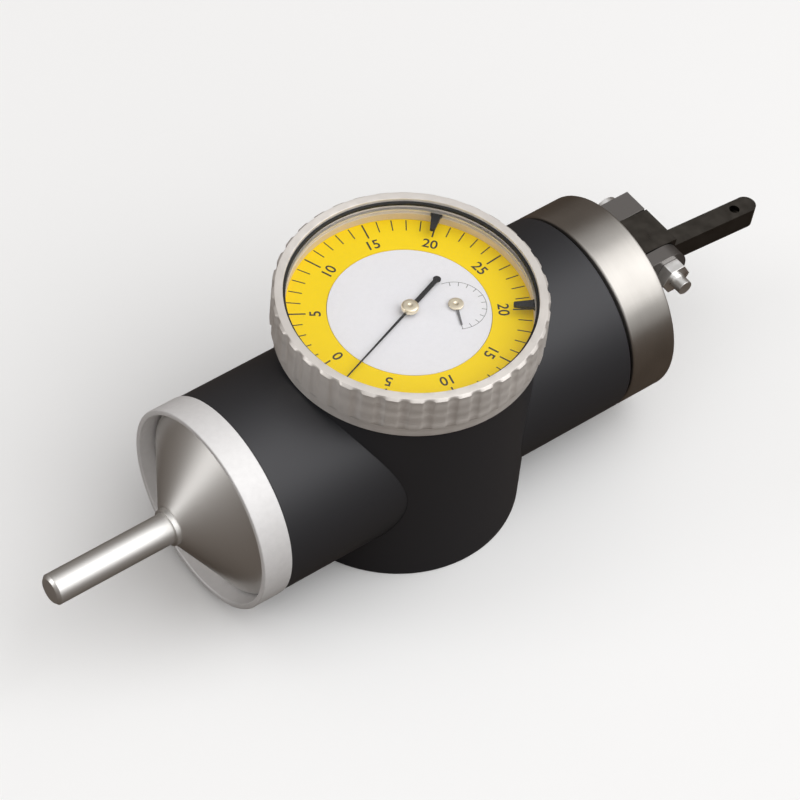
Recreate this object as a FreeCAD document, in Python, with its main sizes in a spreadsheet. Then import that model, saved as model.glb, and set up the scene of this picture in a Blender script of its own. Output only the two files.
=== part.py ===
"""Centering indicator: a dial gauge that rides a free-turning shank and feeler head.

Frame, in millimetres: the origin is the centre of the flat back face under the
dial, +X runs along the barrel from the shank to the feeler, and +Z rises square
to the dial. The barrel axis lies AXIS above the back face.
"""
import FreeCAD
import Part
import Sketcher
import math
import os
import re
import sys

# Driving sizes, all in millimetres or degrees unless they are counts or ratios
SIZES = {
    # shank, cone and spindle
    "shank_diameter": 6.0,
    "shank_length": 25.0,
    "shank_chamfer": 0.6,
    "collar_diameter": 7.2,
    "collar_length": 1.0,
    "cone_foot_diameter": 8.0,
    "cone_length": 9.5,
    "cone_diameter": 36.6,
    "cone_rim": 0.5,
    "spindle_hub_diameter": 13.0,
    "rod_bore": 4.0,
    "rod_bore_overrun": 4.0,
    # barrel and its two bearings
    "barrel_diameter": 39.4,
    "barrel_length": 78.0,
    "bearing_shoulder": 1.5,
    "barrel_chamfer": 0.4,
    "bearing_bore": 10.0,
    "bearing_diameter": 26.0,
    "bearing_width": 8.0,
    "race_wall": 2.4,
    "race_groove": 0.4,
    "race_chamfer": 0.3,
    "ball_count": 9,
    "ball_play": 0.03,
    "cage_wall": 1.2,
    "cage_rim": 0.6,
    "pocket_play": 0.12,
    "seat_clearance": 0.02,
    "running_clearance": 0.05,
    # ring round the cone
    "ring_length": 6.1,
    "ring_diameter": 39.8,
    "ring_web": 2.0,
    "ring_web_bore": 24.0,
    "ring_chamfer": 0.4,
    "cone_gap": 0.5,
    "cone_web_gap": 0.4,
    "ring_screw_circle": 32.5,
    "ring_screw_count": 3,
    # feeler head and its clevis
    "head_gap": 0.7,
    "head_length": 10.0,
    "head_diameter": 39.4,
    "head_chamfer": 0.5,
    "head_web": 3.0,
    "clevis_base": 1.8,
    "pivot_setback": 7.4,
    "pivot_height": 7.8,
    "ear_rise": 4.2,
    "ear_nose": 3.6,
    "far_ear": 5.2,
    "near_ear": 3.0,
    "lever_slot": 9.2,
    "clevis_screw_spacing": 5.0,
    # feeler lever
    "rest_tilt": 6.0,
    "lever_travel": 12.0,
    "lever_play": 0.1,
    "block_tail": 4.6,
    "arm_width": 4.0,
    "arm_height": 4.4,
    "arm_drop": 1.3,
    "arm_reach": 28.7,
    "leg_width": 5.0,
    "leg_thickness": 2.4,
    "leg_overrun": 2.4,
    "fork_width": 2.2,
    "fork_depth": 1.6,
    "feeler_hole": 2.5,
    "feeler_depth": 12.0,
    "clamp_hole": 2.05,
    "clamp_setback": 5.0,
    # pivot screw and nut
    "pivot_diameter": 3.0,
    "pivot_head_diameter": 5.6,
    "pivot_head_height": 1.8,
    "nut_flats": 5.5,
    "nut_height": 2.4,
    "pivot_overrun": 2.6,
    # pull rod, cross pin, spool and spring
    "rod_diameter": 3.6,
    "neck_diameter": 1.6,
    "neck_play": 0.3,
    "button_diameter": 2.8,
    "button_length": 1.4,
    "spool_diameter": 18.0,
    "spool_length": 10.0,
    "groove_depth": 2.6,
    "cross_pin_diameter": 2.0,
    "cross_pin_setback": 3.0,
    "cross_pin_inset": 0.5,
    "slot_margin": 0.2,
    "spring_wire": 0.8,
    "spring_coil": 12.0,
    "spring_turns": 9,
    "spring_sides": 8,
    "washer_thickness": 0.8,
    "washer_diameter": 14.5,
    # dial housing
    "housing_step": 1.2,
    "housing_wall": 1.6,
    "back_floor": 1.2,
    "back_chamfer": 0.8,
    "floor_height": 9.8,
    "housing_neck_height": 4.4,
    "bezel_play": 0.1,
    "bezel_lift": 0.4,
    "bezel_float": 0.3,
    "restraint_thread": 5.0,
    "restraint_depth": 8.0,
    "back_screw_spacing": 28.0,
    "screw_diameter": 2.5,
    "screw_length": 6.0,
    "screw_head_diameter": 4.6,
    "screw_head_height": 1.1,
    # bezel, crystal and scale
    "bezel_diameter": 50.0,
    "bezel_height": 10.3,
    "bezel_band": 2.6,
    "bezel_wall": 2.6,
    "shelf_height": 4.5,
    "shelf_thickness": 0.5,
    "shelf_width": 1.4,
    "scallop_count": 36,
    "scallop_diameter": 3.2,
    "scallop_depth": 0.5,
    "crystal_lip": 0.6,
    "crystal_height": 8.0,
    "crystal_edge": 0.9,
    "crystal_rise": 1.0,
    "gasket_height": 0.8,
    "gasket_lift": 0.1,
    "gasket_width": 0.7,
    "scale_thickness": 0.4,
    "dial_diameter": 29.7,
    "scale_gap": 0.1,
    "dial_hole_play": 0.3,
    "marker_groove_height": 7.0,
    "marker_groove_width": 0.8,
    "marker_groove_depth": 0.5,
    "marker_reach": 3.2,
    "marker_span": 9.0,
    "marker_tip": 0.4,
    "upper_marker_angle": 40.0,
    "lower_marker_angle": -33.0,
    "friction_wire": 0.8,
    "wire_play": 0.2,
    "friction_wire_height": 2.2,
    # movement under the dial
    "plate_thickness": 1.2,
    "plate_play": 0.3,
    "upper_plate_inset": 2.7,
    "plate_spacing": 9.5,
    "pillar_diameter": 3.2,
    "pillar_inset": 5.2,
    "movement_screw_inset": 3.45,
    "dial_foot_diameter": 1.6,
    "dial_foot_circle": 22.0,
    "arbor_diameter": 0.9,
    "sector_arbor_diameter": 1.4,
    "sector_radius": 11.25,
    "sector_pinion_radius": 0.75,
    "sector_arm": 7.8,
    "sector_half_angle": 17.0,
    "peg_diameter": 1.6,
    "peg_depth": 1.8,
    "peg_room": 0.6,
    "peg_boss_diameter": 2.8,
    "sector_hub_diameter": 4.4,
    "sector_height": 2.0,
    "sector_thickness": 1.0,
    "counter_x": 7.85,
    "counter_y": -3.45,
    "wheel_ratio": 10,
    "pinion_leaves": 10,
    "leaf_overrun": 0.3,
    "tooth_depth": 0.35,
    "wheel_height": 5.6,
    "wheel_thickness": 0.6,
    "mesh_clearance": 0.02,
    "hairspring_height": 7.6,
    "hairspring_turns": 5,
    "hairspring_inner": 1.2,
    "hairspring_outer": 5.6,
    "hairspring_width": 0.7,
    "hairspring_strip": 0.15,
    "hairspring_steps": 12,
    "stud_diameter": 0.9,
    # hands
    "needle_inset": 1.7,
    "needle_tail": 8.8,
    "needle_angle": 199.0,
    "needle_lift": 0.95,
    "hand_thickness": 0.2,
    "needle_width": 0.5,
    "needle_tip": 0.2,
    "needle_eye_diameter": 2.5,
    "tail_width": 0.9,
    "tail_end_diameter": 1.5,
    "needle_hub_diameter": 3.2,
    "needle_hub_height": 0.9,
    "counter_reach": 4.8,
    "counter_angle": -115.0,
    "counter_lift": 0.35,
    "counter_hub_diameter": 2.8,
    "counter_hub_height": 0.25,
    "counter_width": 0.5,
    "counter_tip": 0.3,
    "counter_eye_diameter": 2.2,
}

# Places round the dial's centre, in degrees from +X
MOVEMENT_SCREW_ANGLES = (50, 130, 235)
PILLAR_ANGLES = (25, 150, 300)
DIAL_FOOT_ANGLES = (80, 180, 260)

# One gear tooth: shares of the pitch at which its flanks leave the root and reach the tip
FLANK_FOOT = 0.25
FLANK_TIP = 0.12

# Rough circle on which every outline is first drawn, before the sheet sets its corners
ROUGH_CENTRE = FreeCAD.Vector(30, 30, 0)
ROUGH_SPOKE = FreeCAD.Vector(20, 0, 0)

document = FreeCAD.newDocument("CenteringIndicator")
sheet = document.addObject("Spreadsheet::Sheet", "Sizes")
for row, (alias, number) in enumerate(SIZES.items(), start=1):
    sheet.set("A%d" % row, alias)
    sheet.set("B%d" % row, str(number))
    sheet.setAlias("B%d" % row, alias)
document.recompute()

# Diameters worked out from the driving sizes, as texts for expressions
BARREL_BORE = "(bearing_diameter - 2 * bearing_shoulder)"
INNER_RACE = "(bearing_bore + 2 * race_wall)"
OUTER_RACE_BORE = "(bearing_diameter - 2 * race_wall)"
BALL = "((" + OUTER_RACE_BORE + " - " + INNER_RACE + ") / 2 + 2 * race_groove)"
CAGE_WIDTH = "(" + BALL + " + 2 * cage_rim)"
HOUSING = "(bezel_diameter - 2 * housing_step)"
BEZEL_BORE = "(bezel_diameter - 2 * bezel_wall)"
SHELF_BORE = "(" + BEZEL_BORE + " - 2 * shelf_width)"
CRYSTAL_SEAT = "(" + BEZEL_BORE + " + 2 * crystal_lip)"
HOUSING_NECK = "(" + BEZEL_BORE + " - 2 * bezel_play)"
CAVITY = "(" + HOUSING_NECK + " - 2 * housing_wall)"
PILLAR_CIRCLE = "(" + CAVITY + " - 2 * pillar_inset)"
MOVEMENT_SCREW_CIRCLE = "(" + CAVITY + " - 2 * movement_screw_inset)"

# Places worked out from the driving sizes, as texts for expressions
AXIS = "(barrel_diameter / 2 + back_floor)"
BARREL_END = "(barrel_length / 2)"
RING_FACE = "(-barrel_length / 2 - ring_length)"
CONE_BACK = "(-barrel_length / 2 - ring_web - cone_web_gap)"
SHANK_TIP = "(" + CONE_BACK + " - cone_rim - cone_length - collar_length - shank_length)"
HEAD_FACE = "(barrel_length / 2 + head_gap + head_length)"
SHAFT_END = "(" + HEAD_FACE + " - head_web)"
PIVOT_X = "(" + HEAD_FACE + " + pivot_setback)"
PIVOT_Z = "(" + AXIS + " + pivot_height)"
SLOT_SIDE = "(lever_slot / 2)"
BEZEL_BASE = "(" + AXIS + " + barrel_diameter / 2 + bezel_lift)"
SHOULDER = "(" + BEZEL_BASE + " - bezel_float)"
FLOOR = "(" + AXIS + " + floor_height)"
PLATE_TOP = "(" + FLOOR + " + plate_thickness)"
UPPER_PLATE = "(" + PLATE_TOP + " + plate_spacing)"
UPPER_TOP = "(" + UPPER_PLATE + " + plate_thickness)"
SHELF_TOP = "(" + BEZEL_BASE + " + shelf_height + shelf_thickness)"
FACE = "(" + SHELF_TOP + " + scale_thickness)"
CRYSTAL = "(" + BEZEL_BASE + " + crystal_height)"
STROKE = "(pivot_height * sin(lever_travel * 1 deg))"
LEG_SWING = "(pivot_height * sin(rest_tilt * 1 deg))"
SECTOR_Y = "(counter_y - sqrt((sector_radius + sector_pinion_radius) ^ 2 - counter_x ^ 2))"

TURNS = {
    "x": FreeCAD.Rotation(FreeCAD.Vector(0, 1, 0), 90),
    "y": FreeCAD.Rotation(FreeCAD.Vector(1, 0, 0), -90),
    "z": FreeCAD.Rotation(),
}
Z_AXIS = FreeCAD.Vector(0, 0, 1)

parts = []


def size(alias):
    """The number in a cell of the sheet."""
    return float(sheet.get(alias))


def bind(thing, prop, text):
    """Tie one property to the sheet; words that are aliases become cell names."""
    thing.setExpression(prop, re.sub(r"[a-z_]+", sheet_name, str(text)))


def sheet_name(match):
    """The name of a cell, for a word of an expression that is an alias."""
    word = match.group(0)
    return "Sizes." + word if word in SIZES else word


def place(thing, x=None, y=None, z=None):
    """Tie the base of a placement to the sheet."""
    for letter, text in (("x", x), ("y", y), ("z", z)):
        if text is not None:
            bind(thing, "Placement.Base." + letter, text)
    return thing


def finish(thing, label):
    """Name a finished piece, and keep it for export."""
    thing.Label = label
    parts.append(thing)
    return thing


def rod(name, diameter, length, along, x="0", y="0", z="0"):
    """A cylinder that starts at x, y, z and runs along a positive axis."""
    thing = document.addObject("Part::Cylinder", name)
    bind(thing, "Radius", "(" + diameter + ") / 2")
    bind(thing, "Height", length)
    thing.Placement = FreeCAD.Placement(FreeCAD.Vector(), TURNS[along])
    return place(thing, x, y, z)


def taper(name, first, last, length, along, x="0", y="0", z="0"):
    """A cone whose diameter goes from first to last along a positive axis."""
    thing = document.addObject("Part::Cone", name)
    bind(thing, "Radius1", "(" + first + ") / 2")
    bind(thing, "Radius2", "(" + last + ") / 2")
    bind(thing, "Height", length)
    thing.Placement = FreeCAD.Placement(FreeCAD.Vector(), TURNS[along])
    return place(thing, x, y, z)


def box(name, length, width, height, x="0", y="0", z="0"):
    """A box with its lowest corner at x, y, z."""
    thing = document.addObject("Part::Box", name)
    bind(thing, "Length", length)
    bind(thing, "Width", width)
    bind(thing, "Height", height)
    return place(thing, x, y, z)


def ball(name, diameter, x="0", y="0", z="0"):
    """A sphere centred on x, y, z."""
    thing = document.addObject("Part::Sphere", name)
    bind(thing, "Radius", "(" + diameter + ") / 2")
    return place(thing, x, y, z)


def fuse(name, *shapes):
    """Several overlapping objects as one solid."""
    thing = document.addObject("Part::MultiFuse", name)
    thing.Shapes = list(shapes)
    thing.Refine = True
    return thing


def cut(name, base, *tools):
    """One object less one or more tools."""
    thing = document.addObject("Part::Cut", name)
    thing.Base = base
    thing.Tool = tools[0] if len(tools) == 1 else group(name + "_tools", *tools)
    return thing


def group(name, *members):
    """Separate solids kept under one name."""
    thing = document.addObject("Part::Compound", name)
    thing.Links = list(members)
    return thing


def fixed(name, shape, x="0", y="0", z="0"):
    """A shape worked out here from sheet sizes, at a place tied to the sheet."""
    thing = document.addObject("Part::Feature", name)
    thing.Shape = shape
    return place(thing, x, y, z)


def turned(name, outline, along, x="0", y="0", z="0"):
    """A body turned round an axis, from an outline of (distance along, radius) texts."""
    body = document.addObject("PartDesign::Body", name)
    role = {"x": "XY_Plane", "z": "XZ_Plane"}[along]
    plane = [item for item in body.Origin.OriginFeatures if item.Role == role][0]
    sketch = body.newObject("Sketcher::SketchObject", name + "_outline")
    sketch.AttachmentSupport = [(plane, "")]
    sketch.MapMode = "FlatFace"
    count = len(outline)
    rough = [ROUGH_CENTRE + FreeCAD.Rotation(Z_AXIS, 360 * i / count) * ROUGH_SPOKE for i in range(count)]
    for i in range(count):
        sketch.addGeometry(Part.LineSegment(rough[i], rough[(i + 1) % count]), False)
    for i in range(count):
        sketch.addConstraint(Sketcher.Constraint("Coincident", i, 2, (i + 1) % count, 1))
    for i, (distance, radius) in enumerate(outline):
        across, up = (distance, radius) if along == "x" else (radius, distance)
        for kind, text, axis in (("DistanceX", across, -2), ("DistanceY", up, -1)):
            if text == "0":
                sketch.addConstraint(Sketcher.Constraint("PointOnObject", i, 1, axis))
            else:
                start = rough[i].x if kind == "DistanceX" else rough[i].y
                index = sketch.addConstraint(Sketcher.Constraint(kind, -1, 1, i, 1, start))
                bind(sketch, "Constraints[%d]" % index, text)
    turning = body.newObject("PartDesign::Revolution", name + "_turning")
    turning.Profile = (sketch, [""])
    turning.ReferenceAxis = (sketch, ["H_Axis" if along == "x" else "V_Axis"])
    turning.Angle = 360.0
    return place(body, x, y, z)


def around(circle, degrees, x="0", y="0"):
    """Texts for the two coordinates of a point on a circle of the given diameter."""
    first = "(%s + %s / 2 * cos(%s * 1 deg))" % (x, circle, degrees)
    second = "(%s + %s / 2 * sin(%s * 1 deg))" % (y, circle, degrees)
    return first, second


def countersunk(name, along_z, x, y, top, play="0"):
    """A countersunk screw whose head lies flush at top; along_z is +1 where it points up."""
    head = "screw_head_diameter + 2 * " + play
    shank = "screw_diameter + 2 * " + play
    if along_z > 0:
        cone = taper(name + "_head", head, shank, "screw_head_height", "z", x, y, top)
        stem = rod(name + "_stem", shank, "screw_length", "z", x, y, top)
    else:
        cone = taper(name + "_head", shank, head, "screw_head_height", "z", x, y,
                     top + " - screw_head_height")
        stem = rod(name + "_stem", shank, "screw_length", "z", x, y, top + " - screw_length")
    return fuse(name, cone, stem)


# Barrel: one turned tube, bored for the spindle, open on top inside the housing
def barrel_and_housing():
    blank = turned("barrel_blank", [
        ("0", BARREL_BORE + " / 2"),
        ("0", "barrel_diameter / 2 - barrel_chamfer"),
        ("barrel_chamfer", "barrel_diameter / 2"),
        ("barrel_length - barrel_chamfer", "barrel_diameter / 2"),
        ("barrel_length", "barrel_diameter / 2 - barrel_chamfer"),
        ("barrel_length", BARREL_BORE + " / 2"),
    ], "x", x="-" + BARREL_END, z=AXIS)
    seat = "bearing_diameter + 2 * seat_clearance"
    rear_seat = rod("rear_seat", seat, "bearing_width", "x", "-" + BARREL_END, "0", AXIS)
    front_seat = rod("front_seat", seat, "bearing_width", "x", BARREL_END + " - bearing_width", "0", AXIS)
    cavity = rod("cavity", CAVITY, "barrel_diameter", "z", "0", "0", FLOOR)
    restraint = rod("restraint_hole", "restraint_thread", "restraint_depth", "z")
    back_holes = [countersunk("back_hole_%d" % i, 1, "%d * back_screw_spacing / 2" % side, "0", "0",
                              "seat_clearance") for i, side in enumerate((-1, 1))]
    plate_holes = [rod("plate_hole_%d" % i, "screw_diameter + 2 * seat_clearance", "screw_length", "z",
                       *around(MOVEMENT_SCREW_CIRCLE, angle), FLOOR + " + plate_thickness - screw_length")
                   for i, angle in enumerate(MOVEMENT_SCREW_ANGLES)]
    ring_holes = [rod("ring_hole_%d" % i, "screw_diameter + 2 * seat_clearance", "screw_length", "x",
                      "-" + BARREL_END + " - ring_web",
                      *around("ring_screw_circle", "(%d * 360 / ring_screw_count)" % i, "0", AXIS))
                  for i in range(int(size("ring_screw_count")))]
    bored = cut(BARREL_BORE + "d", blank, rear_seat, front_seat, cavity, restraint)
    finish(cut("barrel_solid", bored, *back_holes, *plate_holes, *ring_holes), "barrel")
    outside = turned("housing_blank", [
        ("0", "0"),
        ("0", HOUSING + " / 2 - back_chamfer"),
        ("back_chamfer", HOUSING + " / 2"),
        (SHOULDER, HOUSING + " / 2"),
        (SHOULDER, HOUSING_NECK + " / 2"),
        (SHOULDER + " + friction_wire_height", HOUSING_NECK + " / 2"),
        (SHOULDER + " + friction_wire_height", HOUSING_NECK + " / 2 - friction_wire"),
        (SHOULDER + " + friction_wire_height + friction_wire", HOUSING_NECK + " / 2 - friction_wire"),
        (SHOULDER + " + friction_wire_height + friction_wire", HOUSING_NECK + " / 2"),
        (SHOULDER + " + housing_neck_height", HOUSING_NECK + " / 2"),
        (SHOULDER + " + housing_neck_height", "0"),
    ], "z")
    saddle = rod("saddle", "barrel_diameter + 2 * seat_clearance", "barrel_length", "x", "-" + BARREL_END,
                 "0", AXIS)
    finish(cut("housing_solid", outside, saddle, cavity, restraint, *back_holes), "dial_housing")
    screws = [countersunk("back_screw_%d" % i, 1, "%d * back_screw_spacing / 2" % side, "0", "0")
              for i, side in enumerate((-1, 1))]
    finish(group("back_screws_all", *screws), "back_screws")


# Ball bearing: two races, nine balls and their cage, its rear face at start
def bearing(end, start):
    pitch = "((" + INNER_RACE + " + " + OUTER_RACE_BORE + ") / 2)"
    middle = start + " + bearing_width / 2"
    inner = turned(end + "_inner_blank", [
        ("0", "bearing_bore / 2 + seat_clearance"),
        ("0", INNER_RACE + " / 2 - race_chamfer"),
        ("race_chamfer", INNER_RACE + " / 2"),
        ("bearing_width - race_chamfer", INNER_RACE + " / 2"),
        ("bearing_width", INNER_RACE + " / 2 - race_chamfer"),
        ("bearing_width", "bearing_bore / 2 + seat_clearance"),
    ], "x", start, "0", AXIS)
    outer = turned(end + "_outer_blank", [
        ("0", OUTER_RACE_BORE + " / 2 + race_chamfer"),
        ("0", "bearing_diameter / 2 - race_chamfer"),
        ("race_chamfer", "bearing_diameter / 2"),
        ("bearing_width - race_chamfer", "bearing_diameter / 2"),
        ("bearing_width", "bearing_diameter / 2 - race_chamfer"),
        ("bearing_width", OUTER_RACE_BORE + " / 2 + race_chamfer"),
        ("bearing_width - race_chamfer", OUTER_RACE_BORE + " / 2"),
        ("race_chamfer", OUTER_RACE_BORE + " / 2"),
    ], "x", start, "0", AXIS)
    track = document.addObject("Part::Torus", end + "_track")
    bind(track, "Radius1", pitch + " / 2")
    bind(track, "Radius2", BALL + " / 2 + ball_play")
    track.Placement = FreeCAD.Placement(FreeCAD.Vector(), TURNS["x"])
    place(track, middle, "0", AXIS)
    finish(cut(end + "_inner_solid", inner, track), end + "_inner_race")
    finish(cut(end + "_outer_solid", outer, track), end + "_outer_race")
    count = int(size("ball_count"))
    spots = [around(pitch, "(%d * 360 / ball_count)" % i, "0", AXIS) for i in range(count)]
    balls = [ball("%s_ball_%d" % (end, i), BALL, middle, *spot) for i, spot in enumerate(spots)]
    finish(group(end + "_balls_all", *balls), end + "_balls")
    hoop = turned(end + "_cage_blank", [
        ("0", pitch + " / 2 - cage_wall / 2"),
        ("0", pitch + " / 2 + cage_wall / 2"),
        (CAGE_WIDTH, pitch + " / 2 + cage_wall / 2"),
        (CAGE_WIDTH, pitch + " / 2 - cage_wall / 2"),
    ], "x", middle + " - " + CAGE_WIDTH + " / 2", "0", AXIS)
    pockets = [ball("%s_pocket_%d" % (end, i), BALL + " + 2 * pocket_play", middle, *spot)
               for i, spot in enumerate(spots)]
    finish(cut(end + "_cage_solid", hoop, *pockets), end + "_cage")


# Ring screwed to the barrel's rear end: it holds the bearing and guards the cone
def cone_ring():
    bore = "(cone_diameter / 2 + cone_gap)"
    ring = turned("ring_blank", [
        ("0", bore),
        ("0", "ring_diameter / 2 - ring_chamfer"),
        ("ring_chamfer", "ring_diameter / 2"),
        ("ring_length - ring_chamfer", "ring_diameter / 2"),
        ("ring_length", "ring_diameter / 2 - ring_chamfer"),
        ("ring_length", "ring_web_bore / 2"),
        ("ring_length - ring_web", "ring_web_bore / 2"),
        ("ring_length - ring_web", bore),
    ], "x", RING_FACE, "0", AXIS)
    holes = []
    screws = []
    for i in range(int(size("ring_screw_count"))):
        y, z = around("ring_screw_circle", "(%d * 360 / ring_screw_count)" % i, "0", AXIS)
        start = "-" + BARREL_END + " - ring_web"
        for store, play in ((holes, " + 2 * seat_clearance"), (screws, "")):
            kind = "ring_%s_%d" % ("cut" if play else "screw", i)
            head = taper(kind + "_head", "screw_head_diameter" + play, "screw_diameter" + play,
                         "screw_head_height", "x", start, y, z)
            stem = rod(kind + "_stem", "screw_diameter" + play, "screw_length", "x", start, y, z)
            store.append(fuse(kind, head, stem))
    finish(cut("ring_solid", ring, *holes), "cone_ring")
    finish(group("ring_screws_all", *screws), "ring_screws")


# Spindle: shank, collar, cone and hollow shaft turned from one bar
def spindle():
    shaft_start = "(shank_length + collar_length + cone_length + cone_rim + cone_web_gap + ring_web)"
    shaft_end = "(" + SHAFT_END + " - " + SHANK_TIP + ")"
    cone_foot = "(shank_length + collar_length)"
    cone_top = "(shank_length + collar_length + cone_length)"
    blank = turned("spindle_blank", [
        ("0", "0"),
        ("0", "shank_diameter / 2 - shank_chamfer"),
        ("shank_chamfer", "shank_diameter / 2"),
        ("shank_length", "shank_diameter / 2"),
        ("shank_length", "collar_diameter / 2"),
        (cone_foot, "collar_diameter / 2"),
        (cone_foot, "cone_foot_diameter / 2"),
        (cone_top, "cone_diameter / 2"),
        (cone_top + " + cone_rim", "cone_diameter / 2"),
        (cone_top + " + cone_rim", "spindle_hub_diameter / 2"),
        (shaft_start, "spindle_hub_diameter / 2"),
        (shaft_start, "bearing_bore / 2"),
        (shaft_end, "bearing_bore / 2"),
        (shaft_end, "0"),
    ], "x", SHANK_TIP, "0", AXIS)
    bore_start = "(-cross_pin_setback - cross_pin_diameter / 2 - rod_bore_overrun)"
    bore = rod("spindle_bore", "rod_bore", SHAFT_END + " - " + bore_start, "x", bore_start, "0", AXIS)
    slot_length = "(cross_pin_diameter + " + STROKE + " + 2 * slot_margin)"
    slot = box("pin_slot", slot_length, "cross_pin_diameter + 2 * running_clearance", "spool_diameter",
               "-cross_pin_setback - cross_pin_diameter / 2 - slot_margin",
               "-cross_pin_diameter / 2 - running_clearance", AXIS + " - spool_diameter / 2")
    finish(cut("spindle_solid", blank, bore, slot), "spindle")


# Head: the disc on the spindle's front end, which carries the clevis
def head():
    hub = "head_gap"
    disc = turned("head_blank", [
        ("0", "bearing_bore / 2 + seat_clearance"),
        ("0", "spindle_hub_diameter / 2"),
        (hub, "spindle_hub_diameter / 2"),
        (hub, "head_diameter / 2 - head_chamfer"),
        (hub + " + head_chamfer", "head_diameter / 2"),
        (hub + " + head_length - head_chamfer", "head_diameter / 2"),
        (hub + " + head_length", "head_diameter / 2 - head_chamfer"),
        (hub + " + head_length", "rod_bore / 2"),
        (hub + " + head_length - head_web", "rod_bore / 2"),
        (hub + " + head_length - head_web", "bearing_bore / 2 + seat_clearance"),
    ], "x", BARREL_END, "0", AXIS)
    holes = [rod("head_hole_%d" % i, "screw_diameter + 2 * seat_clearance", "screw_length", "x",
                 HEAD_FACE + " + clevis_base - screw_length", "%d * clevis_screw_spacing / 2" % side, PIVOT_Z)
             for i, side in enumerate((-1, 1))]
    finish(cut("head_solid", disc, *holes), "feeler_head")


# Clevis: two ears on one base, screwed to the head; the near ear has a round nose
def clevis():
    low = PIVOT_Z + " - ear_rise"
    tall = "2 * ear_rise"
    base = box("clevis_foot", "clevis_base", "far_ear + lever_slot + near_ear", tall,
               HEAD_FACE, "-" + SLOT_SIDE + " - near_ear", low)
    far = box("far_ear_bar", "pivot_setback + ear_nose", "far_ear", tall, HEAD_FACE, SLOT_SIDE, low)
    near = box("near_ear_bar", "pivot_setback", "near_ear", tall, HEAD_FACE,
               "-" + SLOT_SIDE + " - near_ear", low)
    nose = rod("near_ear_nose", tall, "near_ear", "y", PIVOT_X, "-" + SLOT_SIDE + " - near_ear", PIVOT_Z)
    bore = rod("pivot_bore", "pivot_diameter + 2 * running_clearance", "far_ear + lever_slot + near_ear", "y",
               PIVOT_X, "-" + SLOT_SIDE + " - near_ear", PIVOT_Z)
    holes = []
    screws = []
    for i, side in enumerate((-1, 1)):
        y = "%d * clevis_screw_spacing / 2" % side
        for store, play in ((holes, " + 2 * seat_clearance"), (screws, "")):
            kind = "clevis_%s_%d" % ("cut" if play else "screw", i)
            top = taper(kind + "_head", "screw_diameter" + play, "screw_head_diameter" + play,
                        "screw_head_height", "x", HEAD_FACE + " + clevis_base - screw_head_height", y, PIVOT_Z)
            stem = rod(kind + "_stem", "screw_diameter" + play, "screw_length", "x",
                       HEAD_FACE + " + clevis_base - screw_length", y, PIVOT_Z)
            store.append(fuse(kind, top, stem))
    finish(cut("clevis_solid", fuse("clevis_blank", base, far, near, nose), bore, *holes), "clevis")
    finish(group("clevis_screws_all", *screws), "clevis_screws")


# Pivot: a cross screw through both ears, and its nut on the near side
def pivot():
    near_face = "(-" + SLOT_SIDE + " - near_ear)"
    start = "(" + near_face + " - nut_height - pivot_overrun)"
    far_face = "(" + SLOT_SIDE + " + far_ear)"
    shank = rod("pivot_shank", "pivot_diameter", far_face + " - " + start, "y", PIVOT_X, start, PIVOT_Z)
    cap = rod("pivot_cap", "pivot_head_diameter", "pivot_head_height", "y", PIVOT_X, far_face, PIVOT_Z)
    slot = box("pivot_driver_slot", "pivot_head_diameter", "pivot_head_height / 2", "pivot_head_height / 3",
               PIVOT_X + " - pivot_head_diameter / 2", far_face + " + pivot_head_height / 2",
               PIVOT_Z + " - pivot_head_height / 6")
    finish(cut("pivot_solid", fuse("pivot_blank", shank, cap), slot), "pivot_screw")
    nut = document.addObject("Part::Prism", "nut_blank")
    nut.Polygon = 6
    bind(nut, "Circumradius", "nut_flats / 2 / cos(30 deg)")
    bind(nut, "Height", "nut_height")
    nut.Placement = FreeCAD.Placement(FreeCAD.Vector(), TURNS["y"])
    place(nut, PIVOT_X, near_face + " - nut_height", PIVOT_Z)
    bore = rod("nut_bore", "pivot_diameter + 2 * seat_clearance", "nut_height", "y",
               PIVOT_X, near_face + " - nut_height", PIVOT_Z)
    finish(cut("nut_solid", nut, bore), "pivot_nut")


# Feeler lever: root block, offset arm with the feeler socket, and the leg to the rod.
# It is modelled level about the pivot, then tipped down by the rest tilt.
def lever():
    width = "(lever_slot - 2 * lever_play)"
    root = box("lever_root", "block_tail + ear_nose", width, "2 * ear_rise",
               "-block_tail", "-" + width + " / 2", "-ear_rise")
    arm = box("lever_arm", "arm_reach - arm_width / 2", "arm_width", "arm_height",
              "0", "-arm_width / 2", "-arm_drop - arm_height")
    tip = rod("lever_tip", "arm_width", "arm_height", "z", "arm_reach - arm_width / 2", "0",
              "-arm_drop - arm_height")
    leg = box("lever_leg", "leg_thickness", "leg_width", "pivot_height + leg_overrun",
              "-leg_thickness / 2", "-leg_width / 2", "-pivot_height - leg_overrun")
    fork = box("lever_fork", "leg_thickness", "fork_width", "fork_depth + leg_overrun",
               "-leg_thickness / 2", "-fork_width / 2", "-pivot_height - leg_overrun")
    bore = rod("lever_bore", "pivot_diameter + 2 * running_clearance", "lever_slot", "y", "0",
               "-" + SLOT_SIDE, "0")
    middle = "-arm_drop - arm_height / 2"
    socket = rod("feeler_socket", "feeler_hole", "feeler_depth", "x", "arm_reach - feeler_depth", "0", middle)
    clamp = rod("clamp_hole", "clamp_hole", "arm_height / 2", "z", "arm_reach - clamp_setback", "0", middle)
    level = cut("lever_level", fuse("lever_blank", root, arm, tip, leg), fork, bore, socket, clamp)
    placed = group("lever_placed", level)
    placed.Placement = FreeCAD.Placement(FreeCAD.Vector(), FreeCAD.Rotation(FreeCAD.Vector(0, 1, 0), 1))
    bind(placed, "Placement.Rotation.Angle", "rest_tilt * 1 deg")
    place(placed, PIVOT_X, "0", PIVOT_Z)
    finish(placed, "feeler_lever")


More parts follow.
